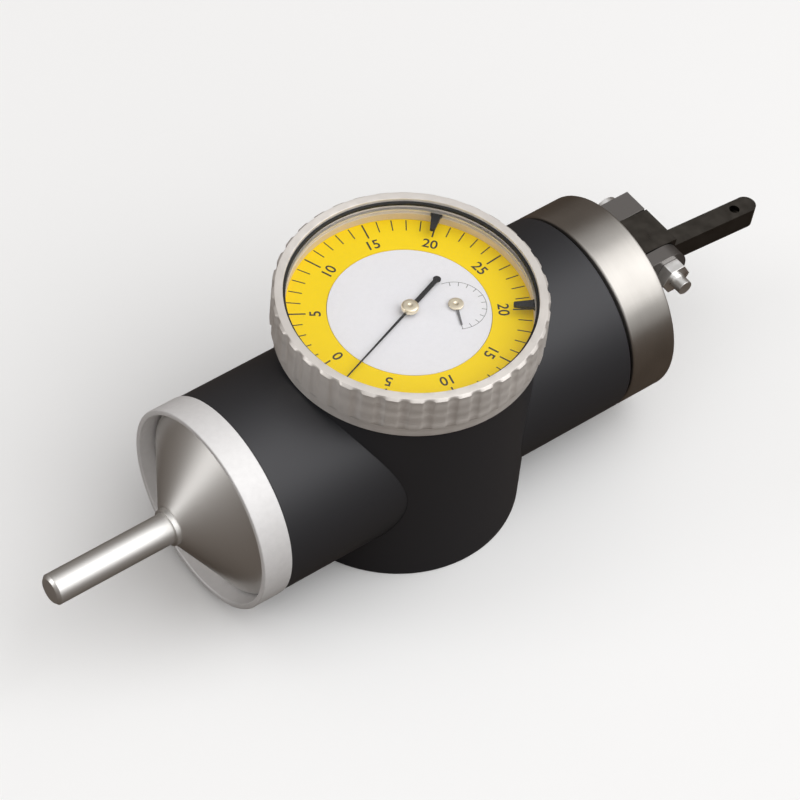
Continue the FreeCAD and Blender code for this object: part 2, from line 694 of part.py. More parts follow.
# Pull rod, cross pin and spool: they carry the lever's swing to the movement
def plunger():
    leg_x = "(" + PIVOT_X + " - " + LEG_SWING + ")"
    shoulder = "(" + leg_x + " - leg_thickness / 2 - neck_play)"
    button = "(" + leg_x + " + leg_thickness / 2 + neck_play)"
    tail = "(-cross_pin_setback - cross_pin_diameter)"
    stem = rod("rod_stem", "rod_diameter", shoulder + " - " + tail, "x", tail, "0", AXIS)
    neck = rod("rod_neck", "neck_diameter", button + " - " + shoulder, "x", shoulder, "0", AXIS)
    knob = rod("rod_button", "button_diameter", "button_length", "x", button, "0", AXIS)
    pin_hole = rod("rod_pin_hole", "cross_pin_diameter + 2 * seat_clearance", "spool_diameter", "z",
                   "-cross_pin_setback", "0", AXIS + " - spool_diameter / 2")
    finish(cut("rod_solid", fuse("rod_blank", stem, neck, knob), pin_hole), "pull_rod")
    half_groove = "(peg_diameter / 2 + running_clearance)"
    spool = turned("spool_blank", [
        ("0", "bearing_bore / 2 + running_clearance"),
        ("0", "spool_diameter / 2"),
        ("spool_length / 2 - " + half_groove, "spool_diameter / 2"),
        ("spool_length / 2 - " + half_groove, "spool_diameter / 2 - groove_depth"),
        ("spool_length / 2 + " + half_groove, "spool_diameter / 2 - groove_depth"),
        ("spool_length / 2 + " + half_groove, "spool_diameter / 2"),
        ("spool_length", "spool_diameter / 2"),
        ("spool_length", "bearing_bore / 2 + running_clearance"),
    ], "x", "-spool_length / 2", "0", AXIS)
    finish(cut("spool_solid", spool, pin_hole), "spool")
    finish(rod("cross_pin_solid", "cross_pin_diameter", "spool_diameter - 2 * cross_pin_inset", "z",
               "-cross_pin_setback", "0", AXIS + " - spool_diameter / 2 + cross_pin_inset"), "cross_pin")


# Return spring round the shaft, between the spool and a washer on the front bearing
def return_spring():
    washer_x = BARREL_END + " - bearing_width - washer_thickness"
    disc = rod("washer_disc", "washer_diameter", "washer_thickness", "x", washer_x, "0", AXIS)
    hole = rod("washer_hole", "bearing_bore + 2 * seat_clearance", "washer_thickness", "x", washer_x,
               "0", AXIS)
    finish(cut("washer_solid", disc, hole), "spring_washer")
    wire = size("spring_wire")
    room = size("barrel_length") / 2 - size("bearing_width") - size("washer_thickness")
    room = room - size("spool_length") / 2
    coil = size("spring_coil") / 2
    length = room - wire - 2 * size("seat_clearance")
    helix = Part.makeHelix(length / size("spring_turns"), length, coil)
    # the wire's section has flats, which keeps its mesh light and closed
    sides = int(size("spring_sides"))
    corners = [math.radians(360 * i / sides) for i in range(sides + 1)]
    half = wire / 2
    section = Part.makePolygon([FreeCAD.Vector(coil + half * math.cos(corner), 0, half * math.sin(corner))
                                for corner in corners])
    shape = Part.Wire(helix.Edges).makePipeShell([section], True, True)
    shape = shape.transformed(FreeCAD.Placement(FreeCAD.Vector(), TURNS["x"]).toMatrix())
    spring = document.addObject("Part::Feature", "spring_solid")
    spring.Shape = shape
    place(spring, "spool_length / 2 + spring_wire / 2 + seat_clearance", "0", AXIS)
    finish(spring, "return_spring")


# Bezel: turned ring with a shelf for the scale, then scalloped round its upper part
def bezel():
    bore = BEZEL_BORE + " / 2"
    marker = "marker_groove_height"
    body = turned("bezel_body", [
        ("0", bore),
        ("0", "bezel_diameter / 2 - scallop_depth"),
        ("bezel_band - scallop_depth", "bezel_diameter / 2 - scallop_depth"),
        ("bezel_band", "bezel_diameter / 2"),
        ("bezel_height - scallop_depth", "bezel_diameter / 2"),
        ("bezel_height", "bezel_diameter / 2 - scallop_depth"),
        ("bezel_height", CRYSTAL_SEAT + " / 2"),
        ("crystal_height", CRYSTAL_SEAT + " / 2"),
        ("crystal_height", bore),
        (marker + " + marker_groove_width", bore),
        (marker + " + marker_groove_width", bore + " + marker_groove_depth"),
        (marker, bore + " + marker_groove_depth"),
        (marker, bore),
        ("shelf_height + shelf_thickness", bore),
        ("shelf_height + shelf_thickness", SHELF_BORE + " / 2"),
        ("shelf_height", SHELF_BORE + " / 2"),
        ("shelf_height", bore),
        ("friction_wire_height + friction_wire + wire_play - bezel_float", bore),
        ("friction_wire_height + friction_wire + wire_play - bezel_float", bore + " + friction_wire / 2"),
        ("friction_wire_height - wire_play - bezel_float", bore + " + friction_wire / 2"),
        ("friction_wire_height - wire_play - bezel_float", bore),
    ], "z", z=BEZEL_BASE)
    base_plane = [item for item in body.Origin.OriginFeatures if item.Role == "XY_Plane"][0]
    sketch = body.newObject("Sketcher::SketchObject", "scallop_outline")
    sketch.AttachmentSupport = [(base_plane, "")]
    sketch.MapMode = "FlatFace"
    bind(sketch, "AttachmentOffset.Base.z", "bezel_band")
    spot = FreeCAD.Vector(size("bezel_diameter") / 2, 0, 0)
    sketch.addGeometry(Part.Circle(spot, Z_AXIS, size("scallop_diameter")), False)
    sketch.addConstraint(Sketcher.Constraint("PointOnObject", 0, 3, -1))
    across = sketch.addConstraint(Sketcher.Constraint("DistanceX", -1, 1, 0, 3, size("bezel_diameter")))
    bind(sketch, "Constraints[%d]" % across, "bezel_diameter / 2 + scallop_diameter / 2 - scallop_depth")
    diameter = sketch.addConstraint(Sketcher.Constraint("Diameter", 0, 2))
    bind(sketch, "Constraints[%d]" % diameter, "scallop_diameter")
    document.recompute()
    scallop = body.newObject("PartDesign::Pocket", "scallop")
    scallop.Profile = sketch
    scallop.Reversed = True
    bind(scallop, "Length", "bezel_height")
    document.recompute()
    pattern = body.newObject("PartDesign::PolarPattern", "scallops")
    pattern.Originals = [scallop]
    pattern.Axis = (sketch, ["N_Axis"])
    pattern.Angle = 360.0
    bind(pattern, "Occurrences", "scallop_count")
    body.Tip = pattern
    finish(body, "bezel")


# Crystal, its gasket, the scale ring and the dial plate in the middle
def glass_and_scale():
    plate = rod("crystal_plate", CRYSTAL_SEAT + " - 2 * seat_clearance", "crystal_edge + crystal_rise", "z",
                "0", "0", CRYSTAL)
    radius = "((" + CRYSTAL_SEAT + " ^ 2 / 4 + crystal_rise ^ 2) / (2 * crystal_rise))"
    dome = ball("crystal_dome", "2 * " + radius, "0", "0",
                CRYSTAL + " + crystal_edge + crystal_rise - " + radius)
    crystal = document.addObject("Part::Common", "crystal_solid")
    crystal.Base = plate
    crystal.Tool = dome
    finish(crystal, "crystal")
    top = CRYSTAL + " + crystal_edge + gasket_lift"
    gasket = turned("gasket_blank", [
        ("0", CRYSTAL_SEAT + " / 2 - gasket_height"),
        ("0", CRYSTAL_SEAT + " / 2 - seat_clearance"),
        ("gasket_height", CRYSTAL_SEAT + " / 2 - seat_clearance"),
        ("gasket_height", CRYSTAL_SEAT + " / 2 - gasket_width"),
    ], "z", z=top)
    finish(gasket, "crystal_gasket")
    ring = rod("scale_disc", BEZEL_BORE + " - 2 * seat_clearance", "scale_thickness", "z",
               "0", "0", SHELF_TOP)
    hole = rod("scale_hole", "dial_diameter + 2 * scale_gap", "scale_thickness", "z", "0", "0", SHELF_TOP)
    finish(cut("scale_solid", ring, hole), "scale_ring")
    disc = rod("dial_disc", "dial_diameter", "scale_thickness", "z", "0", "0", SHELF_TOP)
    holes = [rod("dial_hole_%d" % i, "arbor_diameter + 2 * dial_hole_play", "scale_thickness", "z", x, y,
                 SHELF_TOP) for i, (x, y) in enumerate((("0", "0"), ("counter_x", "counter_y")))]
    finish(cut("dial_solid", disc, *holes), "dial_plate")
    feet = [rod("dial_foot_%d" % i, "dial_foot_diameter", SHELF_TOP + " - " + UPPER_TOP, "z",
                *around("dial_foot_circle", angle), UPPER_TOP)
            for i, angle in enumerate(DIAL_FOOT_ANGLES)]
    finish(group("dial_feet_all", *feet), "dial_feet")


# Limit marker: a pointed flag on a curved foot that slides in the bezel's groove
def limit_marker(label, angle):
    height = size("marker_groove_width") - 2 * size("running_clearance")
    bore = size("bezel_diameter") / 2 - size("bezel_wall")
    foot_radius = bore + size("marker_groove_depth") - size("running_clearance")
    inner = bore - size("running_clearance") - size("marker_tip") * 2
    half = size("marker_span") / 2

    def spot(radius, degrees):
        turn = math.radians(degrees)
        return FreeCAD.Vector(radius * math.cos(turn), radius * math.sin(turn), 0)

    tip = FreeCAD.Vector(inner - size("marker_reach"), 0, 0)
    side = FreeCAD.Vector(0, size("marker_tip") / 2, 0)
    shoulder = half / 3
    middle = (half + shoulder) / 2
    outline = Part.Wire([
        Part.LineSegment(tip - side, spot(inner, -shoulder)).toShape(),
        Part.Arc(spot(inner, -shoulder), spot(inner, -middle), spot(inner, -half)).toShape(),
        Part.LineSegment(spot(inner, -half), spot(foot_radius, -half)).toShape(),
        Part.Arc(spot(foot_radius, -half), spot(foot_radius, 0), spot(foot_radius, half)).toShape(),
        Part.LineSegment(spot(foot_radius, half), spot(inner, half)).toShape(),
        Part.Arc(spot(inner, half), spot(inner, middle), spot(inner, shoulder)).toShape(),
        Part.LineSegment(spot(inner, shoulder), tip + side).toShape(),
        Part.LineSegment(tip + side, tip - side).toShape(),
    ])
    flag = document.addObject("Part::Feature", label + "_solid")
    flag.Shape = Part.Face(outline).extrude(FreeCAD.Vector(0, 0, height))
    flag.Placement = FreeCAD.Placement(FreeCAD.Vector(), FreeCAD.Rotation(Z_AXIS, 1))
    bind(flag, "Placement.Rotation.Angle", angle + " * 1 deg")
    place(flag, "0", "0", BEZEL_BASE + " + marker_groove_height + running_clearance")
    finish(flag, label)


# Friction wire in the housing neck, which holds the bezel down and steadies it
def friction_wire():
    ring = document.addObject("Part::Torus", "friction_ring")
    bind(ring, "Radius1", BEZEL_BORE + " / 2 - friction_wire / 2 + wire_play")
    bind(ring, "Radius2", "friction_wire / 2 - seat_clearance")
    place(ring, "0", "0", SHOULDER + " + friction_wire_height + friction_wire / 2")
    finish(ring, "friction_ring")


def gear(teeth, outer, root, thickness, start=0.0, end=360.0):
    """A disc or a part of one with plain flanked teeth of equal width and space."""
    pitch = 360.0 / teeth
    points = []
    angle = start
    corners = ((-FLANK_FOOT, root), (-FLANK_TIP, outer), (FLANK_TIP, outer), (FLANK_FOOT, root))
    while angle < end - pitch / 2:
        for share, radius in corners:
            turn = math.radians(angle + share * pitch)
            points.append(FreeCAD.Vector(radius * math.cos(turn), radius * math.sin(turn), 0))
        angle += pitch
    if end - start < 360.0:
        points.append(FreeCAD.Vector(0, 0, 0))
    points.append(points[0])
    return Part.Face(Part.makePolygon(points)).extrude(FreeCAD.Vector(0, 0, thickness))


# Movement: two plates on pillars, the sector, the counter wheel and the pointer arbor
def movement_frame():
    peg_slot = box("peg_slot", "peg_diameter + " + STROKE + " + 2 * peg_room", "peg_diameter + 2 * peg_room",
                   "plate_thickness", "-peg_diameter / 2 - peg_room",
                   SECTOR_Y + " + sector_arm - peg_diameter / 2 - peg_room", FLOOR)
    centres = [("sector", "0", SECTOR_Y, "sector_arbor_diameter"),
               ("counter", "counter_x", "counter_y", "arbor_diameter"),
               ("pointer", "0", "0", "arbor_diameter")]
    lower_holes = [rod("lower_hole_" + name, diameter + " + 2 * running_clearance", "plate_thickness", "z",
                       x, y, FLOOR) for name, x, y, diameter in centres]
    upper_holes = [rod("upper_hole_" + name, diameter + " + 2 * running_clearance", "plate_thickness", "z",
                       x, y, UPPER_PLATE) for name, x, y, diameter in centres]
    lower = rod("lower_disc", CAVITY + " - 2 * plate_play", "plate_thickness", "z", "0", "0", FLOOR)
    upper = rod("upper_disc", CAVITY + " - 2 * upper_plate_inset", "plate_thickness", "z",
                "0", "0", UPPER_PLATE)
    plate_cuts = [countersunk("plate_cut_%d" % i, -1, *around(MOVEMENT_SCREW_CIRCLE, angle), PLATE_TOP,
                              "seat_clearance") for i, angle in enumerate(MOVEMENT_SCREW_ANGLES)]
    plate_screws = [countersunk("plate_screw_%d" % i, -1, *around(MOVEMENT_SCREW_CIRCLE, angle), PLATE_TOP)
                    for i, angle in enumerate(MOVEMENT_SCREW_ANGLES)]
    pillars = []
    caps = []
    cap_holes = []
    for i, angle in enumerate(PILLAR_ANGLES):
        x, y = around(PILLAR_CIRCLE, angle)
        post = rod("pillar_post_%d" % i, "pillar_diameter", "plate_spacing", "z", x, y, PLATE_TOP)
        thread = rod("pillar_thread_%d" % i, "pillar_diameter / 2 + 2 * seat_clearance",
                     "plate_spacing / 2", "z", x, y, UPPER_PLATE + " - plate_spacing / 2")
        pillars.append(cut("pillar_%d" % i, post, thread))
        for store, play in ((cap_holes, "seat_clearance"), (caps, "0")):
            kind = "pillar_%s_%d" % ("cap_hole" if play != "0" else "cap", i)
            stem = rod(kind + "_stem", "pillar_diameter / 2 + 2 * " + play,
                       "plate_thickness + plate_spacing / 3", "z", x, y, UPPER_PLATE + " - plate_spacing / 3")
            if play == "0":
                disc = rod(kind + "_disc", "pillar_diameter", "plate_thickness / 2", "z", x, y, UPPER_TOP)
                stem = fuse(kind, stem, disc)
            store.append(stem)
    finish(cut("lower_plate_solid", lower, peg_slot, *lower_holes, *plate_cuts), "movement_lower_plate")
    finish(cut("upper_plate_solid", upper, *upper_holes, *cap_holes), "movement_upper_plate")
    finish(group("movement_screws_all", *plate_screws), "movement_screws")
    finish(group("pillars_all", *pillars), "movement_pillars")
    finish(group("pillar_caps_all", *caps), "pillar_screws")


# Sector: its peg rides in the spool's groove and its teeth turn the counter pinion
def sector():
    finish(rod("sector_arbor_solid", "sector_arbor_diameter", UPPER_TOP + " - " + FLOOR, "z",
               "0", SECTOR_Y, FLOOR), "sector_arbor")
    height = PLATE_TOP + " + sector_height"
    radius = size("sector_radius")
    teeth = round(size("pinion_leaves") * radius / size("sector_pinion_radius"))
    toward = math.degrees(math.acos(size("counter_x") / (radius + size("sector_pinion_radius"))))
    half = size("sector_half_angle")
    fan = fixed("sector_fan", gear(teeth, radius - size("mesh_clearance"), radius - size("tooth_depth"),
                                   size("sector_thickness"), toward - half, toward + half),
                "0", SECTOR_Y, height)
    hub = rod("sector_hub", "sector_hub_diameter", "sector_thickness", "z", "0", SECTOR_Y, height)
    arm = box("sector_bar", "peg_boss_diameter", "sector_arm", "sector_thickness", "-peg_boss_diameter / 2",
              SECTOR_Y, height)
    boss = rod("sector_boss", "peg_boss_diameter", "sector_thickness", "z",
               "0", SECTOR_Y + " + sector_arm", height)
    bore = rod("sector_bore", "sector_arbor_diameter + 2 * seat_clearance", "sector_thickness", "z",
               "0", SECTOR_Y, height)
    peg_bore = rod("peg_bore", "peg_diameter + 2 * seat_clearance", "sector_thickness", "z",
                   "0", SECTOR_Y + " + sector_arm", height)
    finish(cut("sector_solid", fuse("sector_blank", fan, hub, arm, boss), bore, peg_bore), "sector")
    foot = AXIS + " + sqrt(spool_diameter ^ 2 / 4 - (" + SECTOR_Y + " + sector_arm) ^ 2) - peg_depth"
    finish(rod("peg_solid", "peg_diameter", height + " + sector_thickness - (" + foot + ")", "z",
               "0", SECTOR_Y + " + sector_arm", foot), "follower_peg")


# Counter arbor with its pinion and wheel, and the pointer arbor with its pinion
def arbors():
    count = int(size("pinion_leaves"))
    overrun = size("leaf_overrun")
    pinion = size("sector_pinion_radius")
    stem = rod("counter_stem", "arbor_diameter", FACE + " + counter_lift - " + FLOOR, "z",
               "counter_x", "counter_y", FLOOR)
    root = pinion - size("tooth_depth") / 2
    leaves = fixed("counter_leaves", gear(count, pinion - size("mesh_clearance"), root,
                                          size("sector_thickness") + 2 * overrun),
                   "counter_x", "counter_y", PLATE_TOP + " + sector_height - leaf_overrun")
    finish(fuse("counter_arbor_solid", stem, leaves), "counter_arbor")
    centre = math.hypot(size("counter_x"), size("counter_y"))
    small = centre / (size("wheel_ratio") + 1)
    wheel_radius = small * size("wheel_ratio")
    wheel = fixed("wheel_blank", gear(int(count * size("wheel_ratio")), wheel_radius - size("mesh_clearance"),
                                      wheel_radius - size("tooth_depth"), size("wheel_thickness")),
                  "counter_x", "counter_y", PLATE_TOP + " + wheel_height")
    bore = rod("wheel_bore", "arbor_diameter + 2 * seat_clearance", "wheel_thickness", "z",
               "counter_x", "counter_y", PLATE_TOP + " + wheel_height")
    finish(cut("wheel_solid", wheel, bore), "counter_wheel")
    pointer_stem = rod("pointer_stem", "arbor_diameter", FACE + " + needle_lift - " + FLOOR, "z",
                       "0", "0", FLOOR)
    pointer_leaves = fixed("pointer_leaves",
                           gear(count, small - size("mesh_clearance"), small - size("tooth_depth") / 2,
                                size("wheel_thickness") + 2 * overrun),
                           "0", "0", PLATE_TOP + " + wheel_height - leaf_overrun")
    finish(fuse("pointer_arbor_solid", pointer_stem, pointer_leaves), "pointer_arbor")


# Hairspring on the pointer arbor, and the stud that holds its outer end
def hairspring():
    turns = size("hairspring_turns")
    inner = size("hairspring_inner")
    outer = size("hairspring_outer")
    strip = size("hairspring_strip")
    count = int(turns * size("hairspring_steps"))

    def spiral(offset):
        points = []
        for i in range(count + 1):
            turn = 2 * math.pi * turns * i / count
            radius = inner + (outer - inner) * i / count + offset
            points.append(FreeCAD.Vector(radius * math.cos(turn), radius * math.sin(turn), 0))
        curve = Part.BSplineCurve()
        curve.interpolate(points)
        return curve.toShape(), points

    inside, inner_points = spiral(0)
    outside, outer_points = spiral(strip)
    outline = Part.Wire([
        inside,
        Part.LineSegment(inner_points[-1], outer_points[-1]).toShape(),
        outside.reversed(),
        Part.LineSegment(outer_points[0], inner_points[0]).toShape(),
    ])
    strip_shape = Part.Face(outline).extrude(FreeCAD.Vector(0, 0, size("hairspring_width")))
    finish(fixed("hairspring_solid", strip_shape, "0", "0", PLATE_TOP + " + hairspring_height"), "hairspring")
    collet = rod("collet_disc", "2 * hairspring_inner - 2 * seat_clearance", "hairspring_width", "z",
                 "0", "0", PLATE_TOP + " + hairspring_height")
    collet_bore = rod("collet_bore", "arbor_diameter + 2 * seat_clearance", "hairspring_width", "z", "0", "0",
                      PLATE_TOP + " + hairspring_height")
    finish(cut("collet_solid", collet, collet_bore), "hairspring_collet")
    stud_x = "hairspring_outer + hairspring_strip + stud_diameter / 2 + running_clearance"
    finish(rod("stud_post", "stud_diameter", UPPER_PLATE + " - (" + PLATE_TOP + " + hairspring_height)", "z",
               stud_x, "0", PLATE_TOP + " + hairspring_height"), "hairspring_stud")


def hand_shape(reach, width, tip, thickness):
    """A flat tapered bar from the centre along +X."""
    points = [FreeCAD.Vector(0, -width / 2, 0), FreeCAD.Vector(reach, -tip / 2, 0),
              FreeCAD.Vector(reach, tip / 2, 0), FreeCAD.Vector(0, width / 2, 0)]
    return Part.Face(Part.makePolygon(points + points[:1])).extrude(FreeCAD.Vector(0, 0, thickness))


# Hands: the long pointer with its round-ended tail, and the short counter hand
def hands():
    thick = size("hand_thickness")
    reach = size("bezel_diameter") / 2 - size("bezel_wall") - size("needle_inset")
    needle = hand_shape(reach, size("needle_width"), size("needle_tip"), thick)
    tail = hand_shape(size("needle_tail"), size("tail_width"), size("tail_width"), thick)
    tail = tail.transformed(FreeCAD.Placement(FreeCAD.Vector(), FreeCAD.Rotation(Z_AXIS, 180)).toMatrix())
    end = Part.makeCylinder(size("tail_end_diameter") / 2, thick, FreeCAD.Vector(-size("needle_tail"), 0, 0))
    collar = Part.makeCylinder(size("needle_eye_diameter") / 2, thick)
    shape = needle.multiFuse([tail, end, collar]).removeSplitter()
    shape = shape.cut(Part.makeCylinder(size("arbor_diameter") / 2 + size("seat_clearance"), thick))
    pointer = document.addObject("Part::Feature", "pointer_blank")
    pointer.Shape = shape
    pointer.Placement = FreeCAD.Placement(FreeCAD.Vector(), FreeCAD.Rotation(Z_AXIS, 1))
    bind(pointer, "Placement.Rotation.Angle", "needle_angle * 1 deg")
    place(pointer, "0", "0", FACE + " + needle_lift - hand_thickness")
    finish(pointer, "pointer_hand")
    finish(rod("hub_disc", "needle_hub_diameter", "needle_hub_height", "z",
               "0", "0", FACE + " + needle_lift"), "pointer_hub")
    short = hand_shape(size("counter_reach"), size("counter_width"), size("counter_tip"), thick)
    eye = Part.makeCylinder(size("counter_eye_diameter") / 2, thick)
    shape = short.fuse(eye).removeSplitter()
    shape = shape.cut(Part.makeCylinder(size("arbor_diameter") / 2 + size("seat_clearance"), thick))
    counter = document.addObject("Part::Feature", "counter_blank")
    counter.Shape = shape
    counter.Placement = FreeCAD.Placement(FreeCAD.Vector(), FreeCAD.Rotation(Z_AXIS, 1))
    bind(counter, "Placement.Rotation.Angle", "counter_angle * 1 deg")
    place(counter, "counter_x", "counter_y", FACE + " + counter_lift - hand_thickness")
    finish(counter, "counter_hand")
    finish(rod("counter_hub_disc", "counter_hub_diameter", "counter_hub_height", "z",
               "counter_x", "counter_y", FACE + " + counter_lift"), "counter_hub")


barrel_and_housing()
bearing("rear", "(-" + BARREL_END + ")")
bearing("front", "(" + BARREL_END + " - bearing_width)")
cone_ring()
spindle()
head()
clevis()
pivot()
lever()
plunger()
return_spring()
bezel()
glass_and_scale()
limit_marker("upper_limit_marker", "upper_marker_angle")
limit_marker("lower_limit_marker", "lower_marker_angle")
friction_wire()
movement_frame()
sector()
arbors()
hairspring()
hands()

document.recompute()
faults = [item.Name for item in document.Objects if {"Invalid", "Error"} & set(item.State)]
for piece in parts:
    if piece.Shape.isNull() or not piece.Shape.isValid() or not piece.Shape.Solids:
        faults.append(piece.Label)
if faults:
    sys.exit("these objects failed: " + ", ".join(faults))
os.makedirs("parts", exist_ok=True)
for piece in parts:
    piece.Shape.exportStep(os.path.join("parts", piece.Label + ".step"))
print(len(parts), "pieces written")
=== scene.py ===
"""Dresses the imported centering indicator: turned and brushed metals, printed dial, crystal and studio.

Frame, in metres: the origin is the centre of the flat back face under the dial, +X runs along
the barrel towards the feeler, and +Z rises square to the dial.
"""
import math

import bmesh
import bpy
import numpy as np
from mathutils import Matrix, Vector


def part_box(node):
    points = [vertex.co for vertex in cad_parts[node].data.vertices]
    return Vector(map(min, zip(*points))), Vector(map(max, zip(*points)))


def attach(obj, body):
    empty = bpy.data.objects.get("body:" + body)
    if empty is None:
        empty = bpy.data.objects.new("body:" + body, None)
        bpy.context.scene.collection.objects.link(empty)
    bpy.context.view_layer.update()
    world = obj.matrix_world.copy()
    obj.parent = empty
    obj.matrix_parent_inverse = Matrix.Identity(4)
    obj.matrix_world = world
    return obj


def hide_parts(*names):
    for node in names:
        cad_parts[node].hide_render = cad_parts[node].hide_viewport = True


bl_info = {
    "name": "Centering indicator",
    "version": (1, 0, 0),
    "blender": (4, 5, 0),
    "location": "3D View > Sidebar > Indicator",
    "description": "Builds the visible pieces of a dial centering indicator round its packed frame",
    "category": "Object",
}

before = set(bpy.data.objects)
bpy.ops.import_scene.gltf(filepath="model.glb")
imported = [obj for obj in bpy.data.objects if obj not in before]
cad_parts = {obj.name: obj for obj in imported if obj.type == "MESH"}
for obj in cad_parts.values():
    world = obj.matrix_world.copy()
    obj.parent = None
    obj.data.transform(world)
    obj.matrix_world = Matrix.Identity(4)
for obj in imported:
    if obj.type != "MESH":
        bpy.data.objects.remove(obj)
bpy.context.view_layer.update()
MM = 0.001
ROUND_STEPS = 4
SMOOTH_ANGLE = math.radians(38)
# the part of a noise's range that its values fill, which is stretched to the whole
NOISE_LOW, NOISE_HIGH = 0.3, 0.7


def node_box(node):
    """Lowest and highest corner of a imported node, as arrays in metres."""
    low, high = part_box(node)
    return np.array(low), np.array(high)


BARREL = node_box("barrel")
SPINDLE = node_box("spindle")
RING = node_box("cone_ring")
HEAD = node_box("feeler_head")
HOUSING = node_box("dial_housing")
BEZEL = node_box("bezel")
CRYSTAL = node_box("crystal")
GASKET = node_box("crystal_gasket")
SCALE = node_box("scale_ring")
DIAL = node_box("dial_plate")
POINTER_HUB = node_box("pointer_hub")
COUNTER_HUB = node_box("counter_hub")
RACE = node_box("rear_outer_race")
BACK_SCREWS = node_box("back_screws")
MOVEMENT = node_box("movement_lower_plate")
AXIS_Z = float((SPINDLE[0][2] + SPINDLE[1][2]) / 2)
FACE_Z = float(SCALE[1][2])
ON_SHAFT = (0, 0, AXIS_Z)
FONT_SIZE = 1.38        # of a figure one high
STROKE_SHARE = 0.018    # of a figure's height, by which its strokes are thickened
BEZEL_BORE = 22.4 * MM
SCALE_BORE = 14.95 * MM
ROD_BORE = 2.0 * MM
BOSS = 6.5 * MM


# Settings that a user would change

class IndicatorSizes(bpy.types.PropertyGroup):
    """Sizes of the dressing, in metres unless a property says otherwise."""

    edge_round: bpy.props.FloatProperty(
        name="Edge rounding", description="Radius on the turned edges", default=0.25 * MM,
        unit="LENGTH", precision=5)
    fine_round: bpy.props.FloatProperty(
        name="Fine rounding", description="Radius on small pieces", default=0.08 * MM,
        unit="LENGTH", precision=5)
    turn_steps: bpy.props.IntProperty(
        name="Steps round", description="Faces round each turned piece", default=256, min=24)
    scallops: bpy.props.IntProperty(
        name="Scallops", description="Flutes round the bezel's grip", default=36, min=12)
    scallop_depth: bpy.props.FloatProperty(
        name="Scallop depth", description="Depth of each flute", default=0.45 * MM, unit="LENGTH",
        precision=5)
    scallop_radius: bpy.props.FloatProperty(
        name="Scallop radius", description="Radius of the cutter that makes a flute",
        default=1.6 * MM, unit="LENGTH", precision=5)
    divisions: bpy.props.IntProperty(
        name="Divisions", description="Marks round the scale", default=50, min=10)
    scale_turn: bpy.props.FloatProperty(
        name="Scale turn", description="Angle of the zero from the shank's side",
        default=math.radians(4), subtype="ANGLE")
    numeral_height: bpy.props.FloatProperty(
        name="Numeral height", description="Height of the scale's figures", default=2.1 * MM,
        unit="LENGTH", precision=5)
    print_height: bpy.props.FloatProperty(
        name="Print height", description="Thickness of the printed ink", default=0.012 * MM,
        unit="LENGTH", precision=6)
    floor_width: bpy.props.FloatProperty(
        name="Floor width", description="Side of the studio floor", default=6.0, unit="LENGTH")


class IndicatorColours(bpy.types.PropertyGroup):
    """Base colours of the finishes."""

    black_paint: bpy.props.FloatVectorProperty(
        name="Black paint", description="Barrel and housing", default=(0.018, 0.0165, 0.016),
        subtype="COLOR", min=0, max=1)
    steel: bpy.props.FloatVectorProperty(
        name="Steel", description="Shank, cone and head", default=(0.74, 0.71, 0.67),
        subtype="COLOR", min=0, max=1)
    frosted: bpy.props.FloatVectorProperty(
        name="Frosted aluminium", description="Ring round the cone", default=(0.83, 0.82, 0.82),
        subtype="COLOR", min=0, max=1)
    bezel: bpy.props.FloatVectorProperty(
        name="Bezel aluminium", description="Bezel", default=(0.84, 0.80, 0.76),
        subtype="COLOR", min=0, max=1)
    dark_steel: bpy.props.FloatVectorProperty(
        name="Dark steel", description="Clevis and lever", default=(0.075, 0.068, 0.06),
        subtype="COLOR", min=0, max=1)
    lining: bpy.props.FloatVectorProperty(
        name="Bore lining", description="Wall between the scale and the crystal",
        default=(0.74, 0.62, 0.47), subtype="COLOR", min=0, max=1)
    yellow: bpy.props.FloatVectorProperty(
        name="Scale yellow", description="Scale ring", default=(1.0, 0.72, 0.0),
        subtype="COLOR", min=0, max=1)
    white: bpy.props.FloatVectorProperty(
        name="Dial white", description="Dial plate", default=(0.86, 0.86, 0.90),
        subtype="COLOR", min=0, max=1)
    ink: bpy.props.FloatVectorProperty(
        name="Ink", description="Marks and figures", default=(0.05, 0.045, 0.04),
        subtype="COLOR", min=0, max=1)
    brass: bpy.props.FloatVectorProperty(
        name="Brass", description="Movement and hubs", default=(0.72, 0.52, 0.24),
        subtype="COLOR", min=0, max=1)
    floor: bpy.props.FloatVectorProperty(
        name="Floor", description="Studio floor", default=(0.93, 0.93, 0.93), subtype="COLOR",
        min=0, max=1)
    floor_mirrored: bpy.props.FloatVectorProperty(
        name="Floor in reflections", description="Tone of the floor that the metals reflect",
        default=(0.085, 0.065, 0.05), subtype="COLOR", min=0, max=1)


class IndicatorView(bpy.types.PropertyGroup):
    """The camera, placed where the photograph was taken from."""

    azimuth: bpy.props.FloatProperty(
        name="Azimuth", description="Camera's turn round the object",
        default=math.radians(-42.17), subtype="ANGLE")
    elevation: bpy.props.FloatProperty(
        name="Elevation", description="Camera's angle above the floor",
        default=math.radians(50.025), subtype="ANGLE")
    roll: bpy.props.FloatProperty(
        name="Roll", description="Camera's tilt about its own line of sight",
        default=math.radians(6.424), subtype="ANGLE")
    place: bpy.props.FloatVectorProperty(
        name="Place", description="Camera's place", default=(-0.32136, -0.35489, 0.59271),
        subtype="TRANSLATION")
    lens: bpy.props.FloatProperty(
        name="Lens", description="Focal length in millimetres for a 36 mm sensor", default=182.4)


def sizes():
    """The scene's sizes."""
    return bpy.context.scene.indicator_sizes


def colours():
    """The scene's colours."""
    return bpy.context.scene.indicator_colours


# Meshes from arrays

